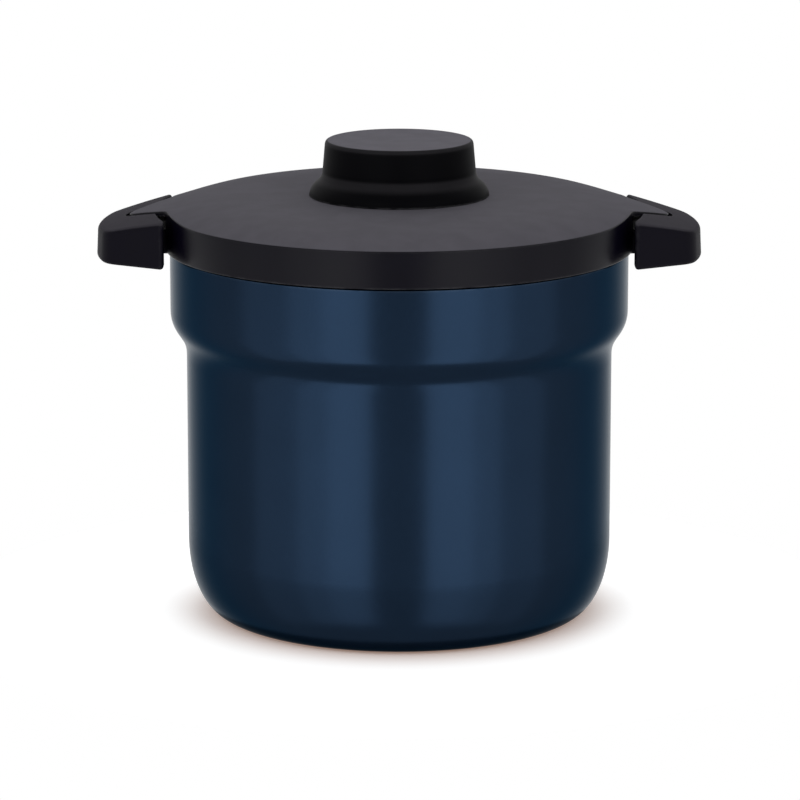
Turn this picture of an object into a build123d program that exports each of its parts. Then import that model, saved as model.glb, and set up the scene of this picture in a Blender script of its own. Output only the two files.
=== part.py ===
from build123d import *
import math
import os

# A vacuum-insulated thermal cooker of the 4.5 litre class: a pot with its own lid stands in a
# double-walled container, and an insulated outer lid closes it. Millimetres, +Z up. The origin
# is the centre of the foot ring's underside, and +X runs out through the right handle.

# Clearances
lift_gap = 0.3
fit_gap = 0.15
overrun = 3.0

# Stewing pot
pot_inner_radius = 96.0
pot_depth = 160.0
pot_wall = 0.8
pot_corner = 14.0
pot_rim_width = 3.2
pot_rim_thickness = 1.8
pot_rim_rounding = 0.8
core_thickness = 4.0
core_inset = 3.0
base_cap_wall = 0.8
base_cap_lip = 3.2
base_cap_rounding = 1.2

# Pot handles
pot_bracket_wall = 1.2
pot_bracket_half_width = 12.0
pot_bracket_height = 17.0
pot_bracket_drop = 3.2
pot_handle_pad = 9.2
pot_handle_margin = 1.6
pot_handle_thickness = 5.6
pot_handle_rounding = 1.8
pot_handle_top_rounding = 1.0
pot_handle_heel = 2.6
rim_clearance = 1.2
pot_screw_radius = 2.5
pot_screw_head_radius = 4.4
pot_screw_head_height = 2.6
pot_screw_sink = 3.2

# Pot lid
glass_thickness = 3.6
glass_rise = 9.0
glass_edge_inset = 1.2
lid_band_wall = 0.6
lid_band_width = 6.5
lid_band_depth = 4.0
lid_band_clearance = 0.8
lid_band_rounding = 0.5
washer_radius = 14.0
washer_thickness = 1.2
pot_knob_radius = 19.0
pot_knob_waist = 15.5
pot_knob_height = 11.0
pot_knob_rounding = 2.4
lid_screw_radius = 2.5
lid_screw_length = 13.0
lid_screw_head_radius = 5.5
lid_screw_head_height = 2.2
eyelet_place = 62.0
eyelet_bore = 1.6
eyelet_neck = 3.2
eyelet_flange = 5.0
eyelet_roll = 4.2
eyelet_flange_thickness = 1.0

# Vacuum container
pot_side_gap = 4.0
liner_wall = 0.8
liner_corner = 16.0
vacuum_side_gap = 8.7
shell_wall = 1.0
mouth_gap = 3.0
vacuum_mouth_gap = 7.6
rim_to_lip = 20.3
mouth_depth = 46.8
liner_step = 24.0
shell_shoulder_drop = 9.1
shell_step_drop = 41.1
shell_step = 23.9
step_ease_share = 0.5
shoulder_width = 3.2
shoulder_rounding = 1.6
neck_rounding = 0.6
corner_width = 18.4
corner_height = 38.8

# Container base
foot_stand = 0.8
foot_depth = 1.2
foot_radius = 76.0
foot_width = 10.0
foot_rounding = 0.4
base_opening = 62.0
base_plate_overlap = 5.0
base_plate_wall = 1.0
base_plate_rise = 4.2
base_plate_slope = 8.0
vacuum_floor_gap = 8.8
base_cover_wall = 1.0
base_cover_rib = 1.6
base_cover_rib_radius = 34.0
seal_radius = 6.0
seal_height = 1.8
seal_rounding = 0.9
getter_radius = 7.0
getter_height = 3.0
getter_place = 30.0

# Mouth collar
collar_cap = 1.6
collar_lip = 0.8
collar_lip_depth = 4.0
collar_side_gap = 1.0
collar_neck_gap = 0.3
collar_rounding = 0.6

# Outer lid
lid_overhang = 2.4
skirt_wall = 2.2
cover_wall = 2.5
skirt_gap = 1.1
cover_gap = 0.4
dome_rise = 9.0
dome_power = 8
dome_steps = 6
rim_rounding = 0.5
boss_radius = 48.4
boss_top_radius = 45.0
boss_height = 6.0
boss_rounding = 0.5
rim_ledge = 3.0
skirt_rounding = 0.5
lid_liner_wall = 1.5
plug_gap = 3.0
plug_clearance = 4.4
knob_recess_gap = 7.0
knob_recess_clearance = 1.1
lid_liner_rounding = 2.0
foam_gap = 0.1

# Lid knob
knob_foot_thickness = 0.9
knob_wall_radius = 39.8
knob_top_radius = 38.6
knob_flare_height = 6.5
knob_height = 22.0
knob_wall = 2.6
knob_top_rounding = 1.6
knob_dish = 0.5
knob_post_radius = 4.6
knob_post_place = 22.0
knob_screw_count = 3
knob_screw_radius = 1.8
knob_screw_length = 12.0
knob_screw_head_radius = 3.6
knob_screw_head_height = 2.2

# Container handles, which carry the lid's dome on outwards
merge_inset = 17.0
handle_reach = 35.5
handle_tip_drop = 7.3
handle_arch_gap = 5.1
handle_end_width = 7.45
handle_taper = 17.0
handle_end_bow = 86.0
handle_corner = 15.0
handle_end_inset = 1.4
handle_end_rounding = 1.5
handle_draft = 2.6
handle_skirt_drop = 4.9
handle_wall = 2.8
handle_top_rounding = 3.4
handle_arch_rounding = 0.8
handle_bottom_rounding = 2.0
pocket_half_width = 18.0
pocket_root = 4.9
pocket_tip_radius = 9.0
pocket_side_share = 0.9
ear_gap = 2.2
tongue_half_width = 14.0
tongue_drop = 2.2
tongue_gap = 0.3
bracket_half_width = 9.5
bracket_wall = 2.0
bracket_flange_wall = 1.5
bracket_flange_height = 6.0
bracket_drop = 5.8
bracket_length = 24.0
handle_screw_radius = 2.0
handle_screw_head_radius = 3.6
handle_screw_head_height = 2.2
handle_screw_sink = 0.4
handle_screw_inset = 8.0
handle_screw_half_spacing = 5.0
handle_screw_tail = 2.4

# Heights, from the floor up
shell_bottom = foot_stand
base_plate_bottom = shell_bottom + shell_wall
base_plate_top = base_plate_bottom + base_plate_rise + base_plate_wall
liner_floor = base_plate_top + vacuum_floor_gap + liner_wall
base_cap_bottom = liner_floor + lift_gap
core_bottom = base_cap_bottom + base_cap_wall
pot_bottom = core_bottom + core_thickness
pot_floor = pot_bottom + pot_wall
pot_rim = pot_floor + pot_depth
lip = pot_rim + rim_to_lip
liner_step_top = lip - mouth_depth
shell_step_top = lip - shell_step_drop
shoulder = lip - shell_shoulder_drop
neck_top = lip - liner_wall
collar_top = lip + collar_cap
wing_bottom = collar_top + lift_gap
wing_top = wing_bottom + pot_handle_thickness
cover_underside = wing_top + cover_gap
lid_rim = cover_underside + cover_wall
skirt_bottom = shoulder + skirt_gap
handle_bottom = skirt_bottom - handle_skirt_drop
tongue_bottom = skirt_bottom - tongue_drop
glass_bottom = pot_rim + lift_gap + lid_band_wall
glass_crown = glass_bottom + glass_thickness + glass_rise
pot_knob_bottom = glass_crown + washer_thickness
pot_knob_top = pot_knob_bottom + pot_knob_height
boss_top = lid_rim + dome_rise + boss_height
knob_top = boss_top + knob_height

# Radii, from the pot outwards
pot_outer = pot_inner_radius + pot_wall
pot_flat = pot_inner_radius - pot_corner
rim_outer = pot_outer + pot_rim_width
bracket_outer = pot_outer + pot_bracket_wall
pad_outer = bracket_outer + pot_handle_pad
neck_inner = rim_outer + rim_clearance
liner_lower = pot_outer + pot_side_gap
liner_mouth = pad_outer + mouth_gap
shell_lower = liner_lower + liner_wall + vacuum_side_gap + shell_wall
shell_upper = liner_mouth + liner_wall + vacuum_mouth_gap + shell_wall
shell_neck = shell_upper - shoulder_width
lid_radius = shell_upper + lid_overhang
skirt_inner = lid_radius - skirt_wall
collar_outer = skirt_inner - collar_side_gap
collar_bore = liner_mouth - collar_lip - fit_gap
ledge_inner = skirt_inner - rim_ledge
lid_liner_outer = ledge_inner - fit_gap
plug_outer = neck_inner - plug_gap
knob_recess = pot_knob_radius + knob_recess_gap
merge_radius = lid_radius - merge_inset
handle_tip = lid_radius + handle_reach
handle_arch = lid_radius + handle_arch_gap
handle_end_face = lid_radius - handle_end_inset
handle_root_half_width = math.sqrt(handle_arch ** 2 - handle_end_face ** 2) + handle_end_width
handle_end_half_width = handle_root_half_width - handle_taper
wing_half_width = pocket_half_width - ear_gap - pot_handle_margin


# Turning and mirroring


def turned(edges):
    """Turn a closed outline, drawn with radius as x and height as y, about the Z axis."""
    return revolve(Plane.XZ * make_face(edges), axis=Axis.Z)


def ring(*corners):
    """Turn a closed outline of (radius, height, rounding) corners about the Z axis."""
    points = [(radius, height) for radius, height, _ in corners]
    roundings = [rounding for _, _, rounding in corners]
    return turned(FilletPolyline(*points, radius=roundings, close=True))


def disc(radius, bottom, top):
    """A plain upright cylinder between two heights."""
    return Pos(0, 0, bottom) * Cylinder(radius, top - bottom, align=(Align.CENTER, Align.CENTER, Align.MIN))


def block(near, far, half_width, bottom, top):
    """A box out along +X, centred on the X axis."""
    size = Box(far - near, half_width + half_width, top - bottom, align=(Align.MIN, Align.CENTER, Align.MIN))
    return Pos(near, 0, bottom) * size


def other_side(right):
    """The left-hand copy of a piece on the right."""
    return mirror(right, about=Plane.YZ)


def both_sides(right):
    """A group of the piece on the right and its copy on the left."""
    return Compound(children=[*right.solids(), *other_side(right).solids()])


def polyline(*points):
    """The straight edges through a row of points."""
    return Polyline(*points).edges()


# Stewing pot


def pot_body():
    """Deep-drawn pot: flat floor, round corner, straight wall and a thick turned-out rim."""
    inner_centre = (pot_flat, pot_floor + pot_corner)
    corner_outer = pot_corner + pot_wall
    rim_under = pot_rim - pot_rim_thickness
    edges = [
        Line((0, pot_floor), (pot_flat, pot_floor)),
        EllipticalCenterArc(inner_centre, pot_corner, pot_corner, start_angle=270, arc_size=90),
        *FilletPolyline(
            (pot_inner_radius, pot_floor + pot_corner),
            (pot_inner_radius, pot_rim),
            (rim_outer, pot_rim),
            (rim_outer, rim_under),
            (pot_outer, rim_under),
            (pot_outer, pot_floor + pot_corner),
            radius=[pot_rim_rounding, pot_rim_rounding, pot_rim_rounding, 0],
        ).edges(),
        EllipticalCenterArc(inner_centre, corner_outer, corner_outer, start_angle=270, arc_size=90),
        *polyline((pot_flat, pot_bottom), (0, pot_bottom), (0, pot_floor)),
    ]
    return turned(edges)


def pot_base_core():
    """Aluminium disc that spreads the heat under the floor."""
    return disc(pot_flat - core_inset, core_bottom, pot_bottom)


def pot_base_cap():
    """Steel cap that holds the core against the floor, with its edge turned up round it."""
    inner = pot_flat - core_inset
    outer = inner + base_cap_wall
    lip_top = core_bottom + base_cap_lip
    return ring(
        (0, base_cap_bottom, 0),
        (outer, base_cap_bottom, base_cap_rounding),
        (outer, lip_top, 0),
        (inner, lip_top, 0),
        (inner, core_bottom, 0),
        (0, core_bottom, 0),
    )


def pot_bracket():
    """Curved steel plate, welded to the pot's wall, that a handle is screwed to."""
    top = pot_rim - pot_rim_thickness - pot_bracket_drop
    bottom = top - pot_bracket_height
    plate = disc(bracket_outer, bottom, top) - disc(pot_outer, bottom - overrun, top + overrun)
    plate &= block(0, bracket_outer + overrun, pot_bracket_half_width, bottom, top)
    return plate - pot_screw_hole(pot_screw_radius)


def pot_screw_height():
    """Height of the screw that holds a pot handle: the middle of its bracket."""
    return pot_rim - pot_rim_thickness - pot_bracket_drop - pot_bracket_height / 2


def pot_screw_hole(radius):
    """Cutter along X for the shank of a pot handle's screw."""
    start = Plane(origin=(pot_outer, 0, pot_screw_height()), z_dir=(1, 0, 0))
    return start * Cylinder(radius, pad_outer - pot_outer + overrun, align=(Align.CENTER, Align.CENTER, Align.MIN))


def pot_screw():
    """Round-headed screw, sunk in the handle's pad, that ends in the bracket."""
    head_seat = pad_outer - pot_screw_sink
    middle = (Align.CENTER, Align.CENTER, Align.MIN)
    start = Plane(origin=(pot_outer + lift_gap, 0, pot_screw_height()), z_dir=(1, 0, 0))
    shank = start * Cylinder(pot_screw_radius, head_seat - pot_outer - lift_gap, align=middle)
    seat = Plane(origin=(head_seat, 0, pot_screw_height()), z_dir=(1, 0, 0))
    head = seat * Cylinder(pot_screw_head_radius, pot_screw_head_height, align=middle)
    head = fillet(head.edges().group_by(Axis.X)[-1], pot_screw_head_height / 2)
    return shank + head


def wing_outline():
    """Plan of a pot handle's wing: it follows the pocket that it lies in."""
    return offset(pocket_outline(neck_inner), -(ear_gap + pot_handle_margin))


def top_outline(wing):
    """The edges round a wing's flat top and the bevel at its tip, without the crease between them."""
    flat = wing.faces().sort_by(Axis.Z)[-1].edges()
    bevel = wing.faces().filter_by(GeomType.REVOLUTION).sort_by(SortBy.AREA)[-1].edges()
    crease = [edge for edge in flat if edge in bevel]
    return [edge for edge in flat + bevel if edge not in crease]


def pot_handle():
    """Resin pot handle: a pad on the bracket, a neck up past the rim and a wing over the collar."""
    bracket_top = pot_rim - pot_rim_thickness - pot_bracket_drop
    heel = bracket_top - pot_bracket_height - pot_handle_heel
    rise = ring(
        (bracket_outer, heel, 0),
        (pad_outer, heel, pot_handle_rounding),
        (pad_outer, wing_top, 0),
        (neck_inner, wing_top, pot_handle_rounding),
        (neck_inner, bracket_top, 0),
        (bracket_outer, bracket_top, 0),
    )
    rise &= block(0, pad_outer + overrun, wing_half_width, heel - overrun, wing_top + overrun)
    wing = extrude(Pos(0, 0, wing_bottom) * wing_outline(), pot_handle_thickness)
    wing &= under_shoulder(cover_wall + cover_gap)
    wing = fillet(wing.edges().group_by(Axis.Z)[0], pot_handle_rounding)
    wing = fillet(top_outline(wing), pot_handle_top_rounding)
    body = rise + wing
    sunk = Plane(origin=(pad_outer - pot_screw_sink, 0, pot_screw_height()), z_dir=(1, 0, 0))
    head_room = pot_screw_head_radius + lift_gap
    middle = (Align.CENTER, Align.CENTER, Align.MIN)
    body -= sunk * Cylinder(head_room, pot_screw_sink + overrun, align=middle)
    return body - pot_screw_hole(pot_screw_radius)


# Pot lid


def glass_radius_of_dome():
    """Radius of the sphere that the glass is bowed to."""
    chord = rim_outer - lid_band_width
    return (chord * chord + glass_rise * glass_rise) / (glass_rise + glass_rise)


def glass_height_at(radius):
    """Height of the upper face of the glass at a radius."""
    dome = glass_radius_of_dome()
    return glass_crown - dome + math.sqrt(dome * dome - radius * radius)


def pot_lid_glass():
    """Bowed glass with a flat edge, a hole for the knob's screw and one for the steam eyelet."""
    edge = rim_outer - glass_edge_inset - lid_band_wall
    bend = rim_outer - lid_band_width
    flat_top = glass_bottom + glass_thickness
    edges = [
        ThreePointArc((0, glass_crown), (bend / 2, glass_height_at(bend / 2)), (bend, flat_top)),
        *polyline((bend, flat_top), (edge, flat_top), (edge, glass_bottom), (bend, glass_bottom)),
        ThreePointArc(
            (bend, glass_bottom),
            (bend / 2, glass_height_at(bend / 2) - glass_thickness),
            (0, glass_crown - glass_thickness),
        ),
        Line((0, glass_crown - glass_thickness), (0, glass_crown)),
    ]
    glass = turned(edges)
    glass -= disc(lid_screw_radius + fit_gap, glass_bottom, glass_crown + overrun)
    return glass - at_steam_hole(disc(eyelet_neck, -glass_thickness, glass_thickness))


def at_steam_hole(piece):
    """Move a piece from the origin to the middle of the steam hole, square to the glass."""
    lean = math.degrees(math.asin(eyelet_place / glass_radius_of_dome()))
    height = glass_height_at(eyelet_place) - glass_thickness / 2
    return Pos(0, eyelet_place, height) * Rot(-lean, 0, 0) * piece


def pot_lid_rim():
    """Rolled steel band round the glass, with a lip that centres the lid in the pot."""
    bottom = pot_rim + lift_gap
    top = glass_bottom + glass_thickness + lid_band_wall
    outer = rim_outer - glass_edge_inset
    inner = rim_outer - lid_band_width
    lip_outer = pot_inner_radius - lid_band_clearance
    lip_inner = lip_outer - lid_band_wall
    under = glass_bottom
    return ring(
        (outer, bottom, lid_band_rounding),
        (outer, top, lid_band_rounding),
        (inner, top, 0),
        (inner, top - lid_band_wall, 0),
        (outer - lid_band_wall, top - lid_band_wall, 0),
        (outer - lid_band_wall, under, 0),
        (lip_inner, under, 0),
        (lip_inner, bottom - lid_band_depth, 0),
        (lip_outer, bottom - lid_band_depth, 0),
        (lip_outer, bottom, 0),
    )


def pot_lid_washer():
    """Heat-proof washer between the glass and the knob, hollowed to the glass."""
    washer = disc(washer_radius, glass_bottom, pot_knob_bottom)
    dome = glass_radius_of_dome()
    washer -= Pos(0, 0, glass_crown - dome) * Sphere(dome)
    return washer - disc(lid_screw_radius + fit_gap, glass_bottom, pot_knob_bottom + overrun)


def pot_lid_knob():
    """Low waisted knob with a blind hole for its screw."""
    waist = pot_knob_bottom + pot_knob_height / 3
    knob = ring(
        (0, pot_knob_bottom, 0),
        (washer_radius, pot_knob_bottom, 0),
        (pot_knob_waist, waist, pot_knob_rounding),
        (pot_knob_radius, pot_knob_top - pot_knob_height / 3, pot_knob_rounding),
        (pot_knob_radius, pot_knob_top, pot_knob_rounding),
        (0, pot_knob_top, 0),
    )
    hole_top = glass_crown - glass_thickness + lid_screw_length + fit_gap
    return knob - disc(lid_screw_radius, pot_knob_bottom - overrun, hole_top)


def pot_lid_screw():
    """Screw up through the glass into the knob, with a broad head under the glass."""
    seat = glass_crown - glass_thickness
    dome = glass_radius_of_dome() - glass_thickness
    head = disc(lid_screw_head_radius, seat - lid_screw_head_height, seat)
    head &= Pos(0, 0, glass_crown - dome - glass_thickness) * Sphere(dome)
    return head + disc(lid_screw_radius, seat - lid_screw_head_height, seat + lid_screw_length)


def steam_eyelet():
    """Steel eyelet that lines the steam hole, with a flange above the glass and a roll below."""
    seat = glass_thickness / 2 + fit_gap
    end = seat + eyelet_flange_thickness
    rounding = eyelet_flange_thickness / 2
    body = ring(
        (eyelet_bore, -end, rounding / 2),
        (eyelet_roll, -end, rounding),
        (eyelet_roll, -seat, 0),
        (eyelet_neck - fit_gap, -seat, 0),
        (eyelet_neck - fit_gap, seat, 0),
        (eyelet_flange, seat, 0),
        (eyelet_flange, end, rounding),
        (eyelet_bore, end, rounding / 2),
    )
    return at_steam_hole(body)


# Vacuum container


def wall_step(lower_radius, lower_height, upper_radius, upper_height):
    """Edge of an S-shaped step between two upright walls."""
    ease = (upper_height - lower_height) * step_ease_share
    return Bezier(
        (lower_radius, lower_height),
        (lower_radius, lower_height + ease),
        (upper_radius, upper_height - ease),
        (upper_radius, upper_height),
    )


def outer_shell():
    """Painted outer vessel: grooved floor, tall soft corner, wall, S-step, shoulder and neck."""
    centre = (shell_lower - corner_width, shell_bottom + corner_height)
    inner_width = corner_width - shell_wall
    inner_height = corner_height - shell_wall
    step_bottom = shell_step_top - shell_step
    lower_in = shell_lower - shell_wall
    upper_in = shell_upper - shell_wall
    neck_in = shell_neck - shell_wall
    floor_top = shell_bottom + shell_wall
    groove_near = foot_radius - fit_gap
    groove_far = foot_radius + foot_width + fit_gap
    groove_roof = shell_bottom + foot_depth
    edges = [
        *polyline(
            (centre[0], floor_top),
            (groove_far + shell_wall, floor_top),
            (groove_far + shell_wall, groove_roof + shell_wall),
            (groove_near - shell_wall, groove_roof + shell_wall),
            (groove_near - shell_wall, floor_top),
            (base_opening, floor_top),
            (base_opening, shell_bottom),
            (groove_near, shell_bottom),
            (groove_near, groove_roof),
            (groove_far, groove_roof),
            (groove_far, shell_bottom),
            (centre[0], shell_bottom),
        ),
        EllipticalCenterArc(centre, corner_width, corner_height, start_angle=270, arc_size=90),
        Line((shell_lower, centre[1]), (shell_lower, step_bottom)),
        wall_step(shell_lower, step_bottom, shell_upper, shell_step_top),
        *FilletPolyline(
            (shell_upper, shell_step_top),
            (shell_upper, shoulder),
            (shell_neck, shoulder),
            (shell_neck, neck_top),
            (neck_in, neck_top),
            (neck_in, shoulder - shell_wall),
            (upper_in, shoulder - shell_wall),
            (upper_in, shell_step_top),
            radius=[shoulder_rounding, neck_rounding, 0, 0, 0, 0],
        ).edges(),
        wall_step(lower_in, step_bottom, upper_in, shell_step_top),
        Line((lower_in, step_bottom), (lower_in, centre[1])),
        EllipticalCenterArc(centre, inner_width, inner_height, start_angle=270, arc_size=90),
    ]
    return turned(edges)


def vacuum_liner():
    """Inner vessel: floor, round corner, wall, step to a wider mouth and a turned-out lip."""
    outer = liner_lower + liner_wall
    mouth_outer = liner_mouth + liner_wall
    flat = liner_lower - liner_corner
    under = liner_floor - liner_wall
    centre = (flat, liner_floor + liner_corner)
    corner_outer = liner_corner + liner_wall
    step_bottom = liner_step_top - liner_step
    edges = [
        Line((0, liner_floor), (flat, liner_floor)),
        EllipticalCenterArc(centre, liner_corner, liner_corner, start_angle=270, arc_size=90),
        Line((liner_lower, centre[1]), (liner_lower, step_bottom)),
        wall_step(liner_lower, step_bottom, liner_mouth, liner_step_top),
        *polyline(
            (liner_mouth, liner_step_top),
            (liner_mouth, lip),
            (shell_neck, lip),
            (shell_neck, neck_top),
            (mouth_outer, neck_top),
            (mouth_outer, liner_step_top),
        ),
        wall_step(outer, step_bottom, mouth_outer, liner_step_top),
        Line((outer, step_bottom), (outer, centre[1])),
        EllipticalCenterArc(centre, corner_outer, corner_outer, start_angle=270, arc_size=90),
        *polyline((flat, under), (0, under), (0, liner_floor)),
    ]
    return turned(edges)


def base_plate():
    """Dished plate, welded over the opening in the floor, that closes the vacuum space."""
    outer = base_opening + base_plate_overlap
    foot = base_opening - base_plate_overlap
    crown = foot - base_plate_slope
    low = base_plate_bottom
    high = low + base_plate_rise
    return ring(
        (outer, low, 0),
        (outer, low + base_plate_wall, 0),
        (foot, low + base_plate_wall, 0),
        (crown, high + base_plate_wall, 0),
        (0, high + base_plate_wall, 0),
        (0, high, 0),
        (crown, high, 0),
        (foot, low, 0),
    )


def base_cover():
    """Moulded disc that covers the dish, flush with the floor, with one stiffening rib."""
    cover = disc(base_opening - fit_gap, shell_bottom, shell_bottom + base_cover_wall)
    rib_top = base_plate_bottom + base_plate_rise - fit_gap
    rib = disc(base_cover_rib_radius, shell_bottom, rib_top)
    rib -= disc(base_cover_rib_radius - base_cover_rib, shell_bottom - overrun, rib_top + overrun)
    return cover + rib


def vacuum_seal():
    """Button that seals the hole through which the vacuum space was emptied."""
    top = base_plate_bottom + base_plate_rise
    return ring(
        (0, top, 0),
        (seal_radius, top, 0),
        (seal_radius, top - seal_height, seal_rounding),
        (0, top - seal_height, 0),
    )


def vacuum_getter():
    """Pill inside the vacuum space that binds the last gas."""
    return Pos(0, getter_place, 0) * disc(getter_radius, base_plate_top, base_plate_top + getter_height)


def foot_ring():
    """Rubber ring in the floor's groove; the cooker stands on it."""
    outer = foot_radius + foot_width
    top = shell_bottom + foot_depth
    return ring(
        (foot_radius, 0, foot_rounding),
        (outer, 0, foot_rounding),
        (outer, top, 0),
        (foot_radius, top, 0),
    )


def mouth_collar():
    """Moulded collar over the welded lip, open at the sides for the handles' tongues."""
    bottom = shoulder + lift_gap
    wall_inner = shell_neck + collar_neck_gap
    collar = ring(
        (collar_outer, bottom, 0),
        (collar_outer, collar_top, collar_rounding),
        (collar_bore, collar_top, collar_rounding),
        (collar_bore, lip - collar_lip_depth, 0),
        (liner_mouth - fit_gap, lip - collar_lip_depth, 0),
        (liner_mouth - fit_gap, lip, 0),
        (wall_inner, lip, 0),
        (wall_inner, bottom, 0),
    )
    half = tongue_half_width + tongue_gap
    low = block(0, collar_outer + overrun, half, bottom - overrun, lip) - disc(liner_mouth + liner_wall, 0, lip)
    high = block(liner_mouth, collar_outer + overrun, half, lip, collar_top + overrun)
    high -= disc(shell_neck + bracket_flange_wall, lip - overrun, collar_top + overrun)
    notch = low + high
    return collar - notch - other_side(notch)


# Container handles


def shoulder_edge(drop):
    """Arc that carries the lid's dome on outwards to the tip of a handle, lowered by drop."""
    slope = -dome_rise * dome_power / lid_radius * (merge_radius / lid_radius) ** (dome_power - 1)
    start = (merge_radius, dome_height(merge_radius) - drop)
    end = (handle_tip, lid_rim - handle_tip_drop - drop)
    return TangentArc(start, end, tangent=(1, slope))


def under_shoulder(drop):
    """Everything under the surface that the lid's ears and the handles share, lowered by drop."""
    start = (merge_radius, dome_height(merge_radius) - drop)
    end = (handle_tip, lid_rim - handle_tip_drop - drop)
    far = handle_tip + overrun
    floor = handle_bottom - overrun
    edges = [
        shoulder_edge(drop),
        *polyline(end, (far, end[1]), (far, floor), (0, floor), (0, start[1]), start),
    ]
    return turned(edges)


def handle_outline():
    """Plan of the right handle before it is arched round the lid: tapering sides, a bowed end."""
    bow_depth = handle_end_bow - math.sqrt(handle_end_bow ** 2 - handle_end_half_width ** 2)
    corner = handle_tip - bow_depth
    lean = (handle_root_half_width - handle_end_half_width) / (corner - lid_radius)
    back = merge_radius - ear_gap
    back_half_width = handle_root_half_width + lean * (lid_radius - back)
    edges = [
        *polyline(
            (corner, handle_end_half_width),
            (back, back_half_width),
            (back, -back_half_width),
            (corner, -handle_end_half_width),
        ),
        ThreePointArc((corner, -handle_end_half_width), (handle_tip, 0), (corner, handle_end_half_width)),
    ]
    plan = make_face(edges)
    return fillet(plan.vertices().sort_by(Axis.X)[-2:], handle_corner)


def pocket_outline(back):
    """Plan of the pocket in the right handle, from back on outwards: a pointed arch."""
    root = lid_radius + pocket_root
    apex = root + pocket_half_width / pocket_side_share
    plan = make_face(
        Polyline(
            (back, -pocket_half_width),
            (root, -pocket_half_width),
            (apex, 0),
            (root, pocket_half_width),
            (back, pocket_half_width),
            close=True,
        )
    )
    return fillet(plan.vertices().sort_by(Axis.X)[-1:], pocket_tip_radius)


def handle_screw_places():
    """Plan positions of the right handle's two screws."""
    place = handle_arch + handle_screw_inset
    return [(place, side * handle_screw_half_spacing) for side in (-1, 1)]


def rise_of(edge):
    """How far an edge climbs from one end to the other."""
    return abs((edge @ 0).Z - (edge @ 1).Z)


def handle_lobe():
    """The handle's outer form: rounded on top, arched round the lid, cut square at its ends."""
    height = lid_rim + dome_rise - handle_bottom
    lobe = extrude(Pos(0, 0, handle_bottom) * handle_outline(), height, taper=handle_draft)
    lobe &= under_shoulder(0)
    crown = lobe.faces().filter_by(GeomType.REVOLUTION).sort_by(SortBy.AREA)[-1]
    outer_edges = crown.edges().filter_by(lambda edge: edge.center().X > lid_radius)
    lobe = fillet(outer_edges, handle_top_rounding)
    lobe -= disc(handle_arch, handle_bottom - overrun, handle_bottom + height)
    lobe &= block(handle_end_face, handle_tip + overrun, lid_radius, handle_bottom, handle_bottom + height)
    ends = lobe.faces().filter_by(Axis.X)
    posts = [edge for end in ends for edge in end.edges() if rise_of(edge) > handle_arch_gap]
    outer_posts = sorted(posts, key=lambda edge: abs(edge.center().Y))[-2:]
    lobe = fillet(outer_posts, handle_end_rounding)
    crown = lobe.faces().filter_by(GeomType.REVOLUTION).sort_by(SortBy.AREA)[-1]
    lobe = fillet(crown.edges().sort_by(SortBy.LENGTH)[-1], handle_arch_rounding)
    return fillet(lobe.edges().group_by(Axis.Z)[0], handle_bottom_rounding)


def finger_hollow():
    """The space inside the lobe, round the core that holds the pocket and the bracket."""
    height = lid_rim + dome_rise - handle_bottom
    plan = offset(handle_outline(), -handle_wall)
    hollow = extrude(Pos(0, 0, handle_bottom - overrun) * plan, height, taper=handle_draft)
    hollow &= under_shoulder(handle_wall)
    hollow -= disc(handle_arch + handle_wall, 0, handle_bottom + height)
    core = offset(pocket_outline(lid_radius), handle_wall)
    return hollow - extrude(Pos(0, 0, tongue_bottom) * core, height)


def handle():
    """Moulded handle: hollow lobe, pocket for the lid's ear, and a tongue that hooks on the neck."""
    height = lid_rim + dome_rise - handle_bottom
    lobe = handle_lobe() - finger_hollow()
    lobe -= extrude(Pos(0, 0, collar_top) * pocket_outline(lid_radius), height)
    tongue = block(shell_neck, handle_arch + handle_wall, tongue_half_width, tongue_bottom, collar_top)
    tongue -= disc(shell_upper + tongue_gap, tongue_bottom - overrun, shoulder + lift_gap)
    tongue -= disc(shell_neck + bracket_flange_wall + fit_gap, shoulder, collar_top + overrun)
    body = lobe + tongue
    body -= handle_bracket_space()
    for x, y in handle_screw_places():
        sink = handle_screw_head_height + handle_screw_sink
        body -= Pos(x, y, 0) * disc(handle_screw_head_radius + fit_gap, 0, tongue_bottom + sink)
        body -= Pos(x, y, 0) * disc(handle_screw_radius, 0, screw_top())
    return body


def screw_top():
    """Height that the handles' screws reach above their bracket."""
    return collar_top - bracket_drop + handle_screw_tail


def handle_bracket_space():
    """Slot in the tongue for the bracket's strap."""
    top = collar_top - bracket_drop
    far = shell_neck + bracket_length + fit_gap
    half = bracket_half_width + fit_gap
    return block(shell_neck, far, half, top - bracket_wall, top)


def handle_bracket():
    """Steel bracket: a flange welded to the neck and a strap out into the handle."""
    top = collar_top - bracket_drop
    strap = block(0, shell_neck + bracket_length, bracket_half_width, top - bracket_wall, top)
    flange_bottom = top - bracket_wall
    flange = disc(shell_neck + bracket_flange_wall, flange_bottom, flange_bottom + bracket_flange_height)
    flange &= block(0, lid_radius, bracket_half_width, flange_bottom, top + bracket_flange_height)
    bracket = strap + flange - disc(shell_neck, flange_bottom - overrun, collar_top)
    for x, y in handle_screw_places():
        bracket -= Pos(x, y, 0) * disc(handle_screw_radius, 0, collar_top)
    return bracket


def handle_screws_right():
    """The two screws that hold the right handle to its bracket, put in from below."""
    seat = tongue_bottom + handle_screw_head_height + handle_screw_sink
    screws = []
    for x, y in handle_screw_places():
        head = Pos(x, y, 0) * disc(handle_screw_head_radius, seat - handle_screw_head_height, seat)
        head = fillet(head.edges().group_by(Axis.Z)[0], handle_screw_head_height / 3)
        screws.append(head + Pos(x, y, 0) * disc(handle_screw_radius, seat, screw_top()))
    return Compound(children=screws)


# Outer lid


def dome_height(radius):
    """Height of the lid's upper face at a radius: nearly flat, then rolling off to the rim."""
    return lid_rim + dome_rise * (1 - (radius / lid_radius) ** dome_power)


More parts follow.
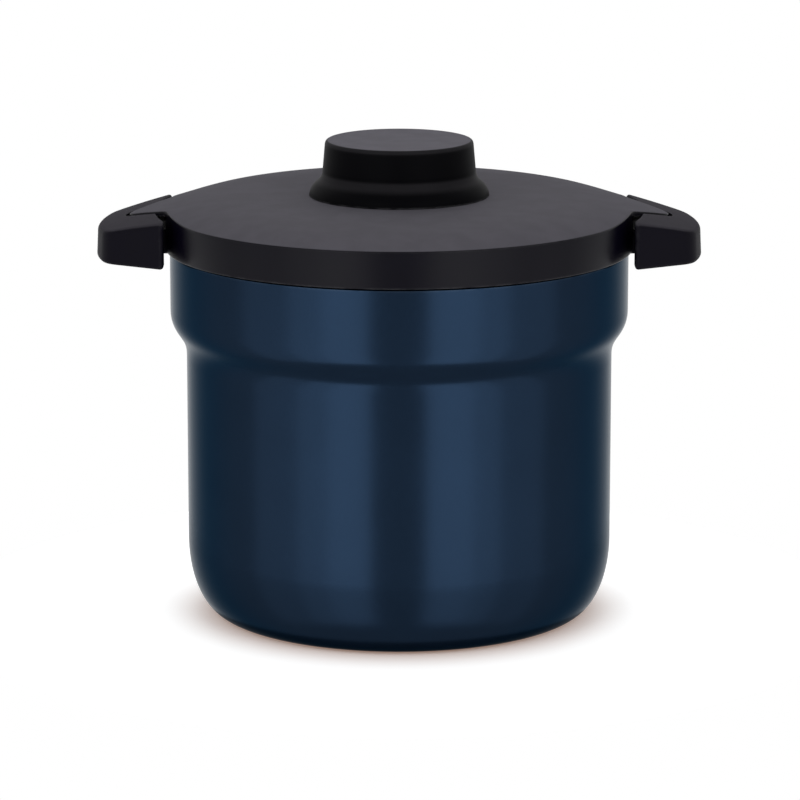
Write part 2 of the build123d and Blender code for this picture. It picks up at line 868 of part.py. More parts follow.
def dome_edge(near, far, drop):
    """Edge that follows the dome from one radius to another, lowered by drop."""
    stride = (far - near) / dome_steps
    radii = [near + stride * step for step in range(dome_steps + 1)]
    return Spline(*[(radius, dome_height(radius) - drop) for radius in radii])


def ear():
    """The lid's right ear: a plate that runs on from the dome into the handle's pocket."""
    plan = offset(pocket_outline(merge_radius - ear_gap), -ear_gap)
    plate = extrude(Pos(0, 0, handle_bottom) * plan, lid_rim + dome_rise - handle_bottom)
    return (plate & under_shoulder(0)) - under_shoulder(cover_wall)


def lid_cover():
    """Moulded cover: dome with a raised seat for the knob, thick rim, notched skirt and two ears."""
    boss_inner = boss_top_radius - cover_wall
    boss_under = boss_top - cover_wall
    edges = [
        *FilletPolyline(
            (0, boss_under),
            (0, boss_top),
            (boss_top_radius, boss_top),
            (boss_radius, dome_height(boss_radius)),
            radius=[0, boss_rounding],
        ).edges(),
        dome_edge(boss_radius, lid_radius, 0),
        *FilletPolyline(
            (lid_radius, lid_rim),
            (lid_radius, skirt_bottom),
            (skirt_inner, skirt_bottom),
            (skirt_inner, cover_underside),
            (ledge_inner, cover_underside),
            (ledge_inner, dome_height(ledge_inner) - cover_wall),
            radius=[skirt_rounding, skirt_rounding, 0, 0],
        ).edges(),
        dome_edge(boss_inner, ledge_inner, cover_wall),
        *polyline(
            (boss_inner, dome_height(boss_inner) - cover_wall),
            (boss_inner, boss_under),
            (0, boss_under),
        ),
    ]
    cover = turned(edges)
    cover = fillet(cover.edges().filter_by_position(Axis.Z, lid_rim, lid_rim), rim_rounding)
    right_ear = ear()
    cover = cover + right_ear + other_side(right_ear)
    half = tongue_half_width + pot_handle_margin
    notch = block(ledge_inner, lid_radius + overrun, half, skirt_bottom - overrun, cover_underside)
    cover = cover - notch - other_side(notch)
    for turn in range(knob_screw_count):
        cover -= knob_screw_at(turn, disc(knob_screw_radius + fit_gap, boss_under - overrun, boss_top + overrun))
    return cover


def lid_liner():
    """Inner skin of the lid: a flange inside the rim, a plug, and a recess over the pot's knob."""
    flange_bottom = cover_underside
    plug_bottom = glass_crown + plug_clearance
    recess_top = pot_knob_top + knob_recess_clearance
    wall = lid_liner_wall
    rounding = lid_liner_rounding
    return ring(
        (lid_liner_outer, flange_bottom, 0),
        (lid_liner_outer, flange_bottom + wall, 0),
        (plug_outer - wall, flange_bottom + wall, 0),
        (plug_outer - wall, plug_bottom + wall, rounding),
        (knob_recess + wall, plug_bottom + wall, 0),
        (knob_recess + wall, recess_top + wall, rounding),
        (0, recess_top + wall, 0),
        (0, recess_top, 0),
        (knob_recess, recess_top, 0),
        (knob_recess, plug_bottom, rounding),
        (plug_outer, plug_bottom, rounding + wall),
        (plug_outer, flange_bottom, 0),
    )


def lid_insulation():
    """Foam that fills the lid between the cover and the liner."""
    top_drop = cover_wall + foam_gap
    over = lid_liner_wall + foam_gap
    outer = lid_liner_outer - foam_gap
    plug = plug_outer - over
    recess = knob_recess + over
    boss_inner = boss_top_radius - cover_wall
    plug_floor = glass_crown + plug_clearance + over
    edges = [
        dome_edge(boss_inner, outer, top_drop),
        *polyline(
            (outer, dome_height(outer) - top_drop),
            (outer, cover_underside + over),
            (plug, cover_underside + over),
            (plug, plug_floor + lid_liner_rounding),
            (plug - lid_liner_rounding, plug_floor),
            (recess, plug_floor),
            (recess, pot_knob_top + knob_recess_clearance + over),
            (0, pot_knob_top + knob_recess_clearance + over),
            (0, dome_height(boss_inner) - top_drop),
            (boss_inner, dome_height(boss_inner) - top_drop),
        ),
    ]
    return turned(edges)


def knob_screw_at(turn, piece):
    """Turn a piece on the axis out to one of the knob's screws."""
    return Rot(0, 0, 90 + turn * 360 / knob_screw_count) * Pos(knob_post_place, 0, 0) * piece


def lid_knob():
    """Hollow moulded knob: flared foot, upright wall, dished top and a post for each screw."""
    foot_top = boss_top + knob_foot_thickness
    foot_radius_out = boss_top_radius - boss_rounding
    flare_top = boss_top + knob_flare_height
    wall_top = knob_top - knob_top_rounding
    inner = knob_top_radius - knob_wall
    ceiling = knob_top - knob_wall
    dish = knob_dish
    edges = [
        Line((foot_radius_out, boss_top), (foot_radius_out, foot_top)),
        Bezier(
            (foot_radius_out, foot_top),
            (knob_wall_radius, foot_top + knob_foot_thickness),
            (knob_wall_radius, flare_top),
        ),
        Line((knob_wall_radius, flare_top), (knob_top_radius, wall_top)),
        Bezier(
            (knob_top_radius, wall_top),
            (knob_top_radius - fit_gap, knob_top),
            (knob_top_radius - knob_top_rounding, knob_top),
        ),
        Bezier(
            (knob_top_radius - knob_top_rounding, knob_top),
            (knob_top_radius / 2, knob_top - dish),
            (0, knob_top - dish),
        ),
        *FilletPolyline(
            (0, knob_top - dish),
            (0, ceiling - dish),
            (inner, ceiling - dish),
            (knob_wall_radius - knob_wall, flare_top),
            (knob_wall_radius - knob_wall, boss_top),
            (foot_radius_out, boss_top),
            radius=[0, knob_top_rounding, 0, 0],
        ).edges(),
    ]
    knob = turned(edges)
    post = disc(knob_post_radius, boss_top, ceiling)
    post -= disc(knob_screw_radius, boss_top, boss_top - cover_wall + knob_screw_length + fit_gap)
    for turn in range(knob_screw_count):
        knob += knob_screw_at(turn, post)
    return knob


def knob_screws():
    """Screws that hold the knob, put in from inside the cover."""
    seat = boss_top - cover_wall
    head = disc(knob_screw_head_radius, seat - knob_screw_head_height, seat)
    head = fillet(head.edges().group_by(Axis.Z)[0], knob_screw_head_height / 3)
    screw = head + disc(knob_screw_radius, seat, seat + knob_screw_length)
    return Compound(children=[knob_screw_at(turn, screw) for turn in range(knob_screw_count)])


right_pot_handle = pot_handle()
right_pot_bracket = pot_bracket()
right_handle = handle()
right_handle_bracket = handle_bracket()

nodes = {
    "outer_shell": outer_shell(),
    "vacuum_liner": vacuum_liner(),
    "base_plate": base_plate(),
    "base_cover": base_cover(),
    "vacuum_seal": vacuum_seal(),
    "vacuum_getter": vacuum_getter(),
    "foot_ring": foot_ring(),
    "mouth_collar": mouth_collar(),
    "right_handle": right_handle,
    "left_handle": other_side(right_handle),
    "right_handle_bracket": right_handle_bracket,
    "left_handle_bracket": other_side(right_handle_bracket),
    "handle_screws": both_sides(handle_screws_right()),
    "pot_body": pot_body(),
    "pot_base_core": pot_base_core(),
    "pot_base_cap": pot_base_cap(),
    "right_pot_handle": right_pot_handle,
    "left_pot_handle": other_side(right_pot_handle),
    "right_pot_bracket": right_pot_bracket,
    "left_pot_bracket": other_side(right_pot_bracket),
    "pot_handle_screws": both_sides(pot_screw()),
    "pot_lid_glass": pot_lid_glass(),
    "pot_lid_rim": pot_lid_rim(),
    "pot_lid_washer": pot_lid_washer(),
    "pot_lid_knob": pot_lid_knob(),
    "pot_lid_screw": pot_lid_screw(),
    "steam_eyelet": steam_eyelet(),
    "lid_cover": lid_cover(),
    "lid_insulation": lid_insulation(),
    "lid_liner": lid_liner(),
    "lid_knob": lid_knob(),
    "knob_screws": knob_screws(),
}

os.makedirs("parts", exist_ok=True)
for name, piece in nodes.items():
    export_step(piece, f"parts/{name}.step")
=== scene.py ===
"""Looks of a vacuum thermal cooker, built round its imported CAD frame. Metres throughout."""
import logging
import math
from dataclasses import astuple, dataclass
from enum import Enum
from typing import Sequence

import bmesh
import bpy
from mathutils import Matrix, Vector


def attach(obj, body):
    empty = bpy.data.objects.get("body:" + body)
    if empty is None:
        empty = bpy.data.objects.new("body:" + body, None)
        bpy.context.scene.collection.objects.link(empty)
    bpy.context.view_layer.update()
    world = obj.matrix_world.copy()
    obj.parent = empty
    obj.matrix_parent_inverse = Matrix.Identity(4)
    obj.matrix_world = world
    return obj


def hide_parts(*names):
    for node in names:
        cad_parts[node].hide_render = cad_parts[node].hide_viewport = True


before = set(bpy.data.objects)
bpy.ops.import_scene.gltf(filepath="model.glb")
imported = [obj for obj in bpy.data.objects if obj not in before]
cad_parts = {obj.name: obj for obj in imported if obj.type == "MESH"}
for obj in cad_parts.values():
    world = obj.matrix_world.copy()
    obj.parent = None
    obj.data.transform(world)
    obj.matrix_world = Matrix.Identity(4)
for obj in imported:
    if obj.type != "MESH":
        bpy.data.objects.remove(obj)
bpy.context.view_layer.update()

LOG = logging.getLogger("thermal_cooker")

Colour = tuple[float, float, float]
Point = tuple[float, float]
Place = tuple[float, float, float]
Row = list[Point]

UPRIGHT: Place = (0.0, 0.0, 0.0)
WHITE: Colour = (1.0, 1.0, 1.0)

# Below these, points are one, an edge is empty, a corner is straight, and an edge is shaded smooth
SAME_POINT = 1e-6
NO_LENGTH = 1e-8
NO_BEND = 1e-3
CREASE = 0.6

# Where clouds, bends at edges and rubbed patches start and are full, and a patch's size in strip widths
CLOUDS: Point = (0.3, 0.7)
RUB_BEND: Point = (0.008, 0.1)
RUB_PATCHES: Point = (0.3, 0.6)
RUB_PATCH_SIZE = 4


class Body(Enum):
    """The bodies of the CAD frame that pieces ride on."""

    CONTAINER = "container"
    POT = "pot"
    POT_LID = "pot_lid"
    OUTER_LID = "outer_lid"


class Brushing(Enum):
    """How the fine lines run on a metal surface."""

    ROUND = "round"
    CROSS = "cross"


# Node graphs


class Graph:
    """A node tree that is built from Python expressions."""

    def __init__(self, tree: bpy.types.NodeTree) -> None:
        """Wrap a shader or geometry tree."""
        self.tree = tree

    def node(
        self,
        kind: str,
        settings: dict[str, object] | None = None,
        sockets: dict[str | int, object] | None = None,
    ) -> bpy.types.Node:
        """Add a node.

        Args:
            kind: The node's type, as Blender names it.
            settings: Values of the node's own properties, set first.
            sockets: Values or links of its inputs, by identifier, name or place.

        Returns:
            The new node.
        """
        made = self.tree.nodes.new(kind)
        for name, value in (settings or {}).items():
            setattr(made, name, value)
        self.fill(made, sockets or {})
        return made

    def fill(self, made: bpy.types.Node, sockets: dict[str | int, object]) -> None:
        """Give a node's inputs their links or plain values.

        Args:
            made: The node.
            sockets: What each input gets. A node stands for its first output.
        """
        for key, value in sockets.items():
            socket = self._find(made.inputs, key)
            if isinstance(value, bpy.types.Node):
                value = self.out(value)
            if isinstance(value, Sock):
                self.tree.links.new(value.link, socket)
            else:
                socket.default_value = value

    def out(self, made: bpy.types.Node, key: str | int = 0) -> "Sock":
        """Wrap one output of a node, named by identifier, name or place."""
        return Sock(self, self._find(made.outputs, key))

    @staticmethod
    def _find(sockets: Sequence[bpy.types.NodeSocket], key: str | int) -> bpy.types.NodeSocket:
        """Find a socket by identifier, name or place."""
        named = [socket for socket in sockets if socket.identifier == key]
        return named[0] if named else sockets[key]

    def math(self, operation: str, a: object, b: object = 0.0) -> "Sock":
        """Add a Math node for two values."""
        sockets = {"Value": a, "Value_001": b}
        return self.out(self.node("ShaderNodeMath", {"operation": operation}, sockets))

    def vector(self, operation: str, a: object, b: object = (0.0, 0.0, 0.0), key: str = "Vector") -> "Sock":
        """Add a Vector Math node for two vectors or colours, and wrap the output with a given name."""
        sockets = {"Vector": a, "Vector_001": b}
        return self.out(self.node("ShaderNodeVectorMath", {"operation": operation}, sockets), key)

    def scaled(self, a: object, share: object) -> "Sock":
        """Scale a vector or colour by a value."""
        sockets = {"Vector": a, "Scale": share}
        return self.out(self.node("ShaderNodeVectorMath", {"operation": "SCALE"}, sockets))

    def mixed(self, share: object, low: object, high: object) -> "Sock":
        """Mix two colours by a value.

        Args:
            share: The value, from 0 to 1.
            low: The colour at 0.
            high: The colour at 1.

        Returns:
            The mixed colour.
        """
        ends = [end if isinstance(end, Sock) else (*end, 1.0) for end in (low, high)]
        sockets = {"Factor_Float": share, "A_Color": ends[0], "B_Color": ends[1]}
        return self.out(self.node("ShaderNodeMix", {"data_type": "RGBA"}, sockets), "Result_Color")

    def parts(self, vector: object) -> "list[Sock]":
        """Split a vector into its three parts."""
        made = self.node("ShaderNodeSeparateXYZ", {}, {0: vector})
        return [self.out(made, axis) for axis in "XYZ"]

    def placed(self, mesh: object, x: object, y: object, z: object) -> "Sock":
        """Move a mesh's points to new coordinates."""
        spot = self.node("ShaderNodeCombineXYZ", {}, {"X": x, "Y": y, "Z": z})
        return self.out(self.node("GeometryNodeSetPosition", {}, {"Geometry": mesh, "Position": spot}))

    def creased(self, mesh: object, limit: object) -> "Sock":
        """Shade a mesh smooth between its sharp edges.

        Args:
            mesh: The mesh.
            limit: The angle in radians from which an edge is sharp.

        Returns:
            The shaded mesh.
        """
        smooth = self.node("GeometryNodeSetShadeSmooth", {"domain": "FACE"}, {"Geometry": mesh})
        angle = self.out(self.node("GeometryNodeInputMeshEdgeAngle"), "Unsigned Angle")
        sharp = self.math("GREATER_THAN", angle, limit)
        sockets = {"Geometry": smooth, "Selection": sharp, "Shade Smooth": False}
        return self.out(self.node("GeometryNodeSetShadeSmooth", {"domain": "EDGE"}, sockets))

    def noise(self, place: object, size: float, detail: float = 2.0, roughness: float = 0.5) -> "Sock":
        """Add soft noise.

        Args:
            place: The coordinates it is read at.
            size: Size of its blobs, in metres.
            detail: Number of finer layers.
            roughness: Weight of the finer layers.

        Returns:
            A value from 0 to 1, mostly near a half.
        """
        sockets = {"Vector": place, "Scale": 1 / size, "Detail": detail, "Roughness": roughness}
        return self.out(self.node("ShaderNodeTexNoise", {}, sockets))

    def cells(self, place: object, size: float, key: str) -> "Sock":
        """Add a pattern of cells of a size in metres, and wrap the output with a given name."""
        return self.out(self.node("ShaderNodeTexVoronoi", {}, {"Vector": place, "Scale": 1 / size}), key)

    def worn(self, place: object, width: float) -> "Sock":
        """Find the edges that get rubbed, broken up by noise.

        Args:
            place: The coordinates the noise is read at.
            width: Width of the rubbed strip, in metres.

        Returns:
            A share from 0 on a flat face to 1 on an edge.
        """
        flat = self.out(self.node("ShaderNodeNewGeometry"), "Normal")
        soft = self.node("ShaderNodeBevel", {"samples": 4}, {"Radius": width})
        bend = 1.0 - self.vector("DOT_PRODUCT", flat, soft, "Value")
        patches = self.noise(place, width * RUB_PATCH_SIZE, detail=3.0, roughness=0.6)
        return bend.over(*RUB_BEND) * patches.over(*RUB_PATCHES)

    def bump(self, height: object, distance: float, strength: float) -> "Sock":
        """Add a Bump node whose full height is a distance in metres."""
        sockets = {"Height": height, "Distance": distance, "Strength": strength}
        return self.out(self.node("ShaderNodeBump", {}, sockets))


class Sock:
    """An output socket that Python's operators work on."""

    def __init__(self, graph: Graph, link: bpy.types.NodeSocket) -> None:
        """Wrap a socket of a graph."""
        self.graph = graph
        self.link = link

    def __add__(self, other: object) -> "Sock":
        """Sum."""
        return self.graph.math("ADD", self, other)

    __radd__ = __add__

    def __sub__(self, other: object) -> "Sock":
        """Difference."""
        return self.graph.math("SUBTRACT", self, other)

    def __rsub__(self, other: object) -> "Sock":
        """Difference, reflected."""
        return self.graph.math("SUBTRACT", other, self)

    def __mul__(self, other: object) -> "Sock":
        """Product."""
        return self.graph.math("MULTIPLY", self, other)

    __rmul__ = __mul__

    def __truediv__(self, other: object) -> "Sock":
        """Quotient."""
        return self.graph.math("DIVIDE", self, other)

    def __rtruediv__(self, other: object) -> "Sock":
        """Quotient, reflected."""
        return self.graph.math("DIVIDE", other, self)

    def __pow__(self, other: object) -> "Sock":
        """Power."""
        return self.graph.math("POWER", self, other)

    def over(self, low: object, high: object) -> "Sock":
        """Turn the stretch from low to high into a smooth step from 0 to 1."""
        settings = {"interpolation_type": "SMOOTHSTEP"}
        sockets = {"Value": self, "From Min": low, "From Max": high}
        return self.graph.out(self.graph.node("ShaderNodeMapRange", settings, sockets))


def emptied(owner: bpy.types.Material | bpy.types.World) -> Graph:
    """Open the node tree of a material or world, with nothing in it.

    Args:
        owner: The new material or world.

    Returns:
        Its graph.
    """
    owner.use_nodes = True
    owner.node_tree.nodes.clear()
    return Graph(owner.node_tree)


def opened(name: str, inputs: dict[str, str]) -> tuple[Graph, dict[str, Sock]]:
    """Open a Geometry Nodes tree that makes one piece.

    Args:
        name: The tree's name.
        inputs: The kind of each of its inputs, by name.

    Returns:
        Its graph, and its inputs by name.
    """
    tree = bpy.data.node_groups.new(name, "GeometryNodeTree")
    for label, kind in inputs.items():
        tree.interface.new_socket(name=label, in_out="INPUT", socket_type="NodeSocket" + kind)
    tree.interface.new_socket(name="Piece", in_out="OUTPUT", socket_type="NodeSocketGeometry")
    graph = Graph(tree)
    given = graph.node("NodeGroupInput")
    return graph, {label: graph.out(given, label) for label in inputs}


def closed(graph: Graph, piece: object, finish: Sock) -> None:
    """End a Geometry Nodes tree: make instances real and set the piece's material.

    Args:
        graph: The tree's graph.
        piece: What it has made.
        finish: Its input for the material.
    """
    real = graph.node("GeometryNodeRealizeInstances", {}, {"Geometry": piece})
    done = graph.node("GeometryNodeSetMaterial", {}, {"Geometry": real, "Material": finish})
    graph.node("NodeGroupOutput", {}, {"Piece": done})


# Finishes


def shaded(colour: Colour, share: float) -> Colour:
    """A colour at a share of its brightness."""
    return tuple(part * share for part in colour)


def uneven(level: float, noises: Sequence[Sock], swings: Sequence[float]) -> Sock:
    """Make a level swing with noises.

    Args:
        level: The level where every noise is at its middle.
        noises: The noises, from 0 to 1.
        swings: How far the level moves over each of them.

    Returns:
        The uneven level.
    """
    for noise, swing in zip(noises, swings):
        level = level + (noise - 0.5) * swing
    return level


@dataclass(frozen=True)
class Finish:
    """A surface finish, from which one material is made."""

    name: str
    colour: Colour
    roughness: float

    def material(self) -> bpy.types.Material:
        """Build the material.

        Returns:
            A node material whose pattern follows Object coordinates.
        """
        made = bpy.data.materials.new(self.name)
        made.diffuse_color = (*self.colour, 1.0)
        graph = emptied(made)
        place = graph.out(graph.node("ShaderNodeTexCoord"), "Object")
        shader = graph.node("ShaderNodeBsdfPrincipled", {}, self.shade(graph, place))
        graph.node("ShaderNodeOutputMaterial", {}, {"Surface": shader})
        return made

    def shade(self, graph: Graph, place: Sock) -> dict[str, object]:
        """Make the pattern.

        Args:
            graph: The material's graph.
            place: Object coordinates.

        Returns:
            Links and values of the Principled shader's sockets.
        """
        raise NotImplementedError


@dataclass(frozen=True)
class MouldedResin(Finish):
    """Moulded plastic with a fine spark-eroded grain.

    The crown is painted light: faces that look up are painted paler, as if lit from above, and are made
    rougher. The painted highlight is a paler colour painted on sloping faces above a height.
    """

    specular: float = 0.3
    # Painted light: the crown is a paler colour painted on faces that look up
    crown: Colour | None = None
    crown_roughness: float = 0.85
    crown_rise: Point = (0.55, 0.8)
    # Painted highlight: a paler colour painted on sloping faces above a height
    painted_highlight: Colour | None = None
    painted_highlight_rise: Point = (0.05, 0.3)
    painted_highlight_foot: Point = (0.2272, 0.2304)
    grain: float = 0.0005
    grain_height: float = 0.00002
    grain_strength: float = 0.6
    mottle: float = 0.012
    patch: float = 0.072
    swings: Place = (0.06, 0.08, 0.05)
    spread: float = 0.06
    rubbed: Colour = (0.045, 0.045, 0.048)
    rub_width: float = 0.0015
    rub_share: float = 0.8

    def shade(self, graph: Graph, place: Sock) -> dict[str, object]:
        """Make a grained, slightly uneven plastic.

        Args:
            graph: The material's graph.
            place: Object coordinates.

        Returns:
            Links and values of the Principled shader's sockets.
        """
        grain = graph.noise(place, self.grain, detail=3.0, roughness=0.6)
        cloud = graph.noise(place, self.mottle, detail=3.0)
        share = cloud.over(*CLOUDS)
        colour = self._cloudy(graph, share, self.colour)
        rough = uneven(self.roughness, (cloud, graph.noise(place, self.patch), grain), self.swings)
        if self.crown:
            height = graph.parts(graph.out(graph.node("ShaderNodeNewGeometry"), "Normal"))[2]
            # Painted highlight: sloping faces above a height are painted paler
            if self.painted_highlight:
                painted_highlight_mask = height.over(*self.painted_highlight_rise) * graph.parts(place)[2].over(*self.painted_highlight_foot)
                colour = graph.mixed(painted_highlight_mask, colour, self._cloudy(graph, share, self.painted_highlight))
            # Painted light: faces that look up are painted paler with the crown colour, and made rougher
            rise = height.over(*self.crown_rise)
            colour = graph.mixed(rise, colour, self._cloudy(graph, share, self.crown))
            rough = rough + rise * (self.crown_roughness - self.roughness)
        rub = graph.worn(place, self.rub_width) * self.rub_share
        return {
            "Base Color": graph.mixed(rub, colour, self.rubbed),
            "Roughness": rough,
            "Specular IOR Level": self.specular,
            "Normal": graph.bump(grain, self.grain_height, self.grain_strength),
        }

    def _cloudy(self, graph: Graph, share: Sock, colour: Colour) -> Sock:
        """A colour that is a little lighter and darker in clouds."""
        return graph.mixed(share, shaded(colour, 1 - self.spread), shaded(colour, 1 + self.spread))


@dataclass(frozen=True)
class FlakePaint(Finish):
    """Baked metallic paint: flakes in a tinted base, with a thin lacquer and a faint orange peel."""

    edge: Colour = WHITE
    metal: float = 1.0
    lacquer: float = 0.04
    lacquer_roughness: float = 0.2
    flake: float = 0.0003
    cloud: float = 0.03
    swings: Point = (0.05, 0.04)
    spread: float = 0.14
    peel: float = 0.004
    peel_height: float = 0.00001
    peel_strength: float = 0.5
    rubbed: Colour = (0.05, 0.07, 0.1)
    rub_width: float = 0.0018
    rub_share: float = 0.5

    def shade(self, graph: Graph, place: Sock) -> dict[str, object]:
        """Make a metallic paint with flakes and orange peel.

        Args:
            graph: The material's graph.
            place: Object coordinates.

        Returns:
            Links and values of the Principled shader's sockets.
        """
        flakes = graph.cells(place, self.flake, "Color")
        spark = graph.out(graph.node("ShaderNodeSeparateColor", {}, {0: flakes}))
        cloud = graph.noise(place, self.cloud, detail=3.0)
        ends = [shaded(self.colour, share) for share in (1 - self.spread, 1 + self.spread)]
        tint = graph.mixed(spark * 0.5 + cloud * 0.5, *ends)
        rub = graph.worn(place, self.rub_width) * self.rub_share
        peel = graph.noise(place, self.peel, detail=1.0)
        return {
            "Base Color": graph.mixed(rub, tint, self.rubbed),
            "Metallic": self.metal,
            "Roughness": uneven(self.roughness, (cloud, spark), self.swings),
            "Specular Tint": (*self.edge, 1.0),
            "Coat Weight": self.lacquer,
            "Coat Roughness": self.lacquer_roughness,
            "Normal": graph.bump(peel, self.peel_height, self.peel_strength),
        }


@dataclass(frozen=True)
class BrushedMetal(Finish):
    """Bare metal with fine lines, round the axis or straight across, and brighter at rubbed edges."""

    brushing: Brushing = Brushing.ROUND
    line: float = 0.0006
    line_height: float = 0.000006
    line_strength: float = 0.5
    line_share: float = 0.6
    depth: float = 0.14
    cloud: float = 0.02
    swings: Point = (0.18, 0.1)
    across: Place = (0.02, 1.0, 1.0)
    around: float = 0.004
    hub: float = 0.0001
    rub_width: float = 0.0012
    rub_gain: float = 1.2
    rub_limit: float = 0.9

    def shade(self, graph: Graph, place: Sock) -> dict[str, object]:
        """Make a metal whose roughness and normal follow its lines.

        Args:
            graph: The material's graph.
            place: Object coordinates.

        Returns:
            Links and values of the Principled shader's sockets.
        """
        lines = graph.noise(self._along(graph, place), self.line, detail=3.0, roughness=0.65)
        cloud = graph.noise(place, self.cloud, detail=3.0)
        share = lines * self.line_share + cloud * (1 - self.line_share)
        bare = graph.mixed(share, shaded(self.colour, 1 - self.depth), self.colour)
        bright = tuple(min(part, self.rub_limit) for part in shaded(self.colour, self.rub_gain))
        return {
            "Base Color": graph.mixed(graph.worn(place, self.rub_width), bare, bright),
            "Metallic": 1.0,
            "Roughness": uneven(self.roughness, (lines, cloud), self.swings),
            "Normal": graph.bump(lines, self.line_height, self.line_strength),
        }

    def _along(self, graph: Graph, place: Sock) -> Sock:
        """Stretch coordinates along the lines.

        Args:
            graph: The material's graph.
            place: Object coordinates.

        Returns:
            The stretched coordinates.
        """
        if self.brushing is Brushing.CROSS:
            return graph.vector("MULTIPLY", place, self.across)
        x, y, z = graph.parts(place)
        radius = (x * x + y * y) ** 0.5 + self.hub
        sockets = {"X": x / radius * self.around, "Y": y / radius * self.around, "Z": z + radius}
        return graph.out(graph.node("ShaderNodeCombineXYZ", {}, sockets))


@dataclass(frozen=True)
class ClearGlass(Finish):
    """Tempered glass with faint smears."""

    index: float = 1.5
    smear: float = 0.02
    smear_stretch: Place = (1.0, 0.4, 1.0)
    smear_range: Point = (0.45, 0.75)
    smear_roughness: float = 0.06

    def shade(self, graph: Graph, place: Sock) -> dict[str, object]:
        """Make a clear glass whose roughness has smears.

        Args:
            graph: The material's graph.
            place: Object coordinates.

        Returns:
            Links and values of the Principled shader's sockets.
        """
        wiped = graph.vector("MULTIPLY", place, self.smear_stretch)
        smear = graph.noise(wiped, self.smear, detail=4.0, roughness=0.6)
        return {
            "Base Color": graph.mixed(smear, self.colour, WHITE),
            "Transmission Weight": 1.0,
            "IOR": self.index,
            "Roughness": smear.over(*self.smear_range) * self.smear_roughness + self.roughness,
        }


@dataclass(frozen=True)
class SoftFoam(Finish):
    """Open soft material such as foam or rubber."""

    cell: float = 0.0012
    cell_height: float = 0.0001
    cell_strength: float = 0.4
    cloud: float = 0.015
    depth: float = 0.2
    swing: float = 0.08
    specular: float = 0.25

    def shade(self, graph: Graph, place: Sock) -> dict[str, object]:
        """Make a dull material with small cells.

        Args:
            graph: The material's graph.
            place: Object coordinates.

        Returns:
            Links and values of the Principled shader's sockets.
        """
        cells = graph.cells(place, self.cell, "Distance")
        cloud = graph.noise(place, self.cloud, detail=3.0)
        low = shaded(self.colour, 1 - self.depth)
        return {
            "Base Color": graph.mixed(cells * 0.5 + cloud * 0.5, low, self.colour),
            "Roughness": uneven(self.roughness, (cloud,), (self.swing,)),
            "Specular IOR Level": self.specular,
            "Normal": graph.bump(cells, self.cell_height, self.cell_strength),
        }


# Outlines


def evenly(start: float, end: float, steps: int) -> list[float]:
    """Values from start to end in even steps, with both ends."""
    return [start + (end - start) * step / steps for step in range(steps + 1)]


def polar(radius: float, angle: float) -> Point:
    """The point at a radius and an angle."""
    return (radius * math.cos(angle), radius * math.sin(angle))


def bearing(way: Vector) -> float:
    """The angle of a vector from the X axis."""
    return math.atan2(way.y, way.x)


def bent(corner: Place, before: Point, after: Point, steps: int) -> Row:
    """Round one corner of an outline.

    Args:
        corner: The corner's two coordinates and its rounding.
        before: The point before it.
        after: The point after it.
        steps: Number of chords in the arc.

    Returns:
        The arc's points, or the corner itself where it isn't rounded.
    """
    here, rounding = Vector(corner[:2]), corner[2]
    to_before, to_after = Vector(before) - here, Vector(after) - here
    if not rounding or not to_before.length or not to_after.length:
        return [tuple(here)]
    to_before.normalize()
    to_after.normalize()
    opening = to_before.angle(to_after)
    sweep = math.pi - opening
    if sweep < NO_BEND:
        return [tuple(here)]
    middle = here + (to_before + to_after).normalized() * (rounding / math.sin(opening / 2))
    start = here + to_before * (rounding / math.tan(opening / 2)) - middle
    end = here + to_after * (rounding / math.tan(opening / 2)) - middle
    return [
        tuple(middle + (start * math.sin((1 - s) * sweep) + end * math.sin(s * sweep)) / math.sin(sweep))
        for s in evenly(0.0, 1.0, steps)
    ]


def rounded(corners: Sequence[Place], steps: int = 6) -> Row:
    """Draw an open outline with rounded corners.

    Args:
        corners: Two coordinates and a rounding for each corner.
        steps: Number of chords in each rounding.

    Returns:
        The outline's points.
    """
    row: Row = [corners[0][:2]]
    for before, corner, after in zip(corners, corners[1:], corners[2:]):
        row += bent(corner, before[:2], after[:2], steps)
    return [*row, corners[-1][:2]]


def curve(points: Sequence[Point], steps: int) -> Row:
    """Draw a Bezier curve.

    Args:
        points: Its control points.
        steps: Number of its chords.

    Returns:
        The curve's points.
    """
    row = []
    degree = len(points) - 1
    for t in evenly(0.0, 1.0, steps):
        weights = [math.comb(degree, k) * t**k * (1 - t) ** (degree - k) for k in range(degree + 1)]
        row.append(tuple(sum(w * p[axis] for w, p in zip(weights, points)) for axis in (0, 1)))
    return row


def ogee(low: Point, high: Point, steps: int) -> Row:
    """An S-shaped step between two upright walls, from its bottom to its top."""
    half = (high[1] - low[1]) / 2
    return curve([low, (low[0], low[1] + half), (high[0], high[1] - half), high], steps)


def elbow(centre: Point, width: float, height: float, steps: int) -> Row:
    """The lower right quarter of an ellipse, from its bottom to its side."""
    angles = [math.radians(angle) for angle in evenly(0.0, 90.0, steps)]
    return [(centre[0] + width * math.sin(a), centre[1] - height * math.cos(a)) for a in angles]


def held(row: Row, grip: float = 0.0008, long_run: float = 0.004) -> Row:
    """Add a point near each end of every long straight run, so that its shading stays even.

    Args:
        row: The outline.
        grip: Distance of the points from the ends.
        long_run: Length from which a run gets them.

    Returns:
        The outline with the points added.
    """
    out = [row[0]]
    for start, end in zip(row, row[1:]):
        run = Vector(end) - Vector(start)
        if run.length > long_run:
            step = run.normalized() * grip
            out += [tuple(Vector(start) + step), tuple(Vector(end) - step)]
        out.append(end)
    return out


# Making pieces


